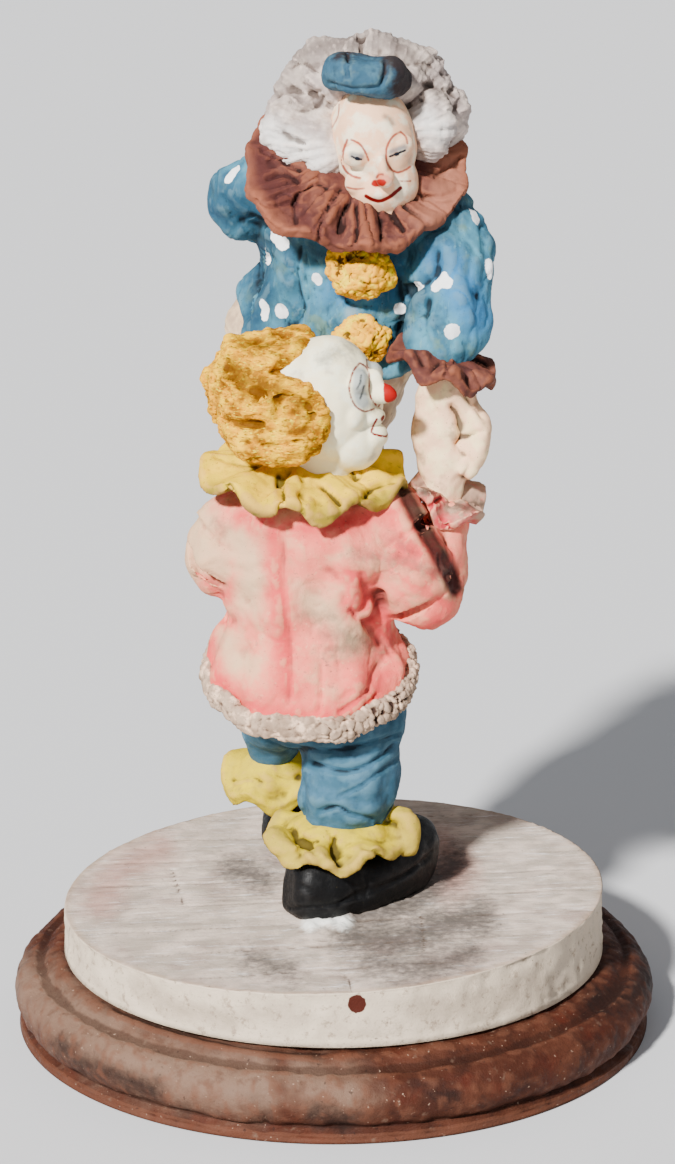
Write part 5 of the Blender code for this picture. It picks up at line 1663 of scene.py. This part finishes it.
plinthForm = {
    "lipHeight": 1.2, "lipInset": 0.8, "torusWidth": 4.2, "grooveDepth": 0.45, "grooveWidth": 0.8,
    "segments": 400,
    "flatRings": (30.0, 34.0, 38.0, 39.4, 40.2, 40.8),      # radii under the disc's edge, where it is flat
    "slopeFrom": 41.0, "slopeSteps": 4,                     # then it falls to the groove
    "torusFrom": 78, "torusSweep": 140, "torusSteps": 24,   # degrees
    "underRings": (44.0, 40.0),
    "dents": [(0.35, 0.5, [(263, 1084), (265, 1110), (264, 1130)]),
              (0.3, 1.2, [(92, 1060), (120, 1080), (150, 1090)]),
              (0.35, 1.5, [(318, 1112), (340, 1120)]),
              (0.35, 0.4, [(120, 1010), (180, 1030), (250, 1046), (322, 1052)]),
              (-0.35, 0.5, [(110, 1014), (170, 1036), (240, 1052), (318, 1062)]),
              (0.25, 0.8, [(316, 1060), (320, 1080)])],
    "dust": [(4.0, [(20, 980), (60, 1010), (120, 1050), (200, 1076), (250, 1082)]),
             (2.6, [(300, 1080), (350, 1090)])],
    # dark patches in the paint, and painted shade at the far right
    "darkPatchesAndShade": [(1.2, [(62, 1046), (90, 1066), (150, 1088)]), (1.4, [(318, 1116), (344, 1124)]),
                    (1.2, [(432, 1094), (452, 1096)]), (2.0, [(600, 1000), (640, 990), (650, 960)])],
}


def turnedPlinth():
    radius = (plinthHigh.x - plinthLow.x) / 2 / mm
    height = plinthHigh.z / mm
    lip, cut, torus = plinthForm["lipHeight"], plinthForm["grooveDepth"], plinthForm["torusWidth"]
    shoulder = radius - torus
    half = (height - lip - cut * 3) / 2
    profile = [(reach, height) for reach in plinthForm["flatRings"]]
    inner, outer = plinthForm["slopeFrom"], shoulder - plinthForm["grooveWidth"]
    for step in range(1, plinthForm["slopeSteps"] + 1):
        share = step / plinthForm["slopeSteps"]
        profile.append((inner + (outer - inner) * share, height - cut * 2 * share ** 1.4))
    profile.append((shoulder, height - cut * 4))
    for step in range(plinthForm["torusSteps"] + 1):
        sweep = plinthForm["torusSweep"] * step / plinthForm["torusSteps"]
        angle = math.radians(plinthForm["torusFrom"] - sweep)
        profile.append((shoulder + math.cos(angle) * torus, lip + half + math.sin(angle) * half))
    for share in (1.0, 0.75, 0.5, 0.25, 0.0):
        profile.append((radius - plinthForm["lipInset"], lip * share))
    profile += [(reach, 0.0) for reach in plinthForm["underRings"]]
    angles = [math.tau * corner / plinthForm["segments"] for corner in range(plinthForm["segments"])]
    rings = []
    for reach, up in profile:
        rings.append([(math.cos(angle) * reach, math.sin(angle) * reach, up - floorTop) for angle in angles])
    cast = gridMesh("turned_plinth", rings)
    side = eased(cast.points[:, 2] + floorTop, 0.0, 0.5)
    push = 0.34 * softNoise(cast.points, 9.0) + 0.22 * softNoise(cast.points, 3.0)
    push += 0.16 * softNoise(cast.points, 1.3) - 0.25
    cast.move(push * side)
    cast.press(plinthForm["dents"])
    cast.points[:, 2] = np.maximum(cast.points[:, 2], -floorTop)
    cast.settle()
    cast.drawnEach(plinthForm, "dust", "darkPatchesAndShade")
    paint = Finish("brown_plinth_paint", rgb(112, 62, 42))
    paint.patches(rgb(136, 84, 60), 7.0, 0.42, 0.64, 0.85)
    paint.patches(rgb(82, 44, 32), 4.6, 0.48, 0.70, 0.85, shift=2)
    paint.patches(rgb(128, 54, 30), 5.4, 0.54, 0.74, 0.6, shift=4)
    paint.stroke("dust", rgb(182, 160, 142), soft=4.0, ragged=7.0, amount=0.85, size=3.4)
    paint.patches(rgb(124, 76, 54), 2.2, 0.52, 0.70, 0.4, shift=17)
    # dark patches in the paint, and painted shade at the far right
    paint.stroke("darkPatchesAndShade", rgb(46, 32, 28), soft=1.6, ragged=3.4, amount=0.75, size=1.4)
    paint.dirtAndShade(rgb(66, 36, 26), 0.06, 0.26, 0.5)
    paint.worn(rgb(160, 112, 86), 0.04, 0.14, 0.5)
    paint.patches(rgb(206, 192, 178), 0.6, 0.68, 0.75, 0.85, shift=8)
    paint.patches(rgb(48, 32, 28), 0.8, 0.64, 0.76, 0.6, shift=11)
    paint.patches(rgb(170, 148, 130), 1.6, 0.62, 0.78, 0.6, shift=14)
    done = paint.done(rough=(0.55, 0.8), grain=0.4, bump=0.26)
    cast.finish(done, "plinth_paint", "plinth", clamp=False)


studioLight = {
    "side": 29,               # degrees to the left of the camera
    "rise": 35,
    "strength": 10.4,
    "softness": 5.0,
    "sky": (0.80, 0.82, 0.86), "skyStrength": 0.50,
    "paper": (0.58, 0.585, 0.60), "paperRoughness": 0.8,
    "lampColour": (1, 0.985, 0.965),
    "floorSize": 3.0, "floorBelow": 0.0002,      # metres
}


def studio():
    below = (0, 0, -studioLight["floorBelow"])
    bpy.ops.mesh.primitive_plane_add(size=studioLight["floorSize"], location=below)
    ground = bpy.context.object
    ground.name = "studio_floor"
    paper = Finish("pale_paper", studioLight["paper"])
    ground.data.materials.append(paper.material)
    paper.wire(paper.colour, paper.shader.inputs["Base Color"])
    paper.shader.inputs["Roughness"].default_value = studioLight["paperRoughness"]
    world = bpy.data.worlds.new("soft_studio")
    bpy.context.scene.world = world
    world.use_nodes = True
    sky = world.node_tree.nodes["Background"]
    sky.inputs["Color"].default_value = (*studioLight["sky"], 1)
    sky.inputs["Strength"].default_value = studioLight["skyStrength"]
    lamp = bpy.data.lights.new("key", "SUN")
    lamp.energy = studioLight["strength"]
    lamp.angle = math.radians(studioLight["softness"])
    lamp.color = studioLight["lampColour"]
    light = bpy.data.objects.new("key", lamp)
    light.rotation_euler = (math.radians(90 - studioLight["rise"]), 0, -math.radians(studioLight["side"]))
    bpy.context.scene.collection.objects.link(light)
    print("studio: floor, sky and lamp")


for build in (plankedDisc, turnedPlinth, smallBlackShoes, yellowCuffs, smallBlueTrousers, smallHemFrill,
              smallPinkJacket, smallPinkCuffs, smallHand, smallYellowCollar, smallHead, smallHair,
              tallShoes, tallAnkleCuffs, tallTrousers, tallBlueJacket, tallPompoms, tallWristCuffs,
              tallGloves, tallRuff, tallMane, tallHead, tallHat):
    build()
studio()
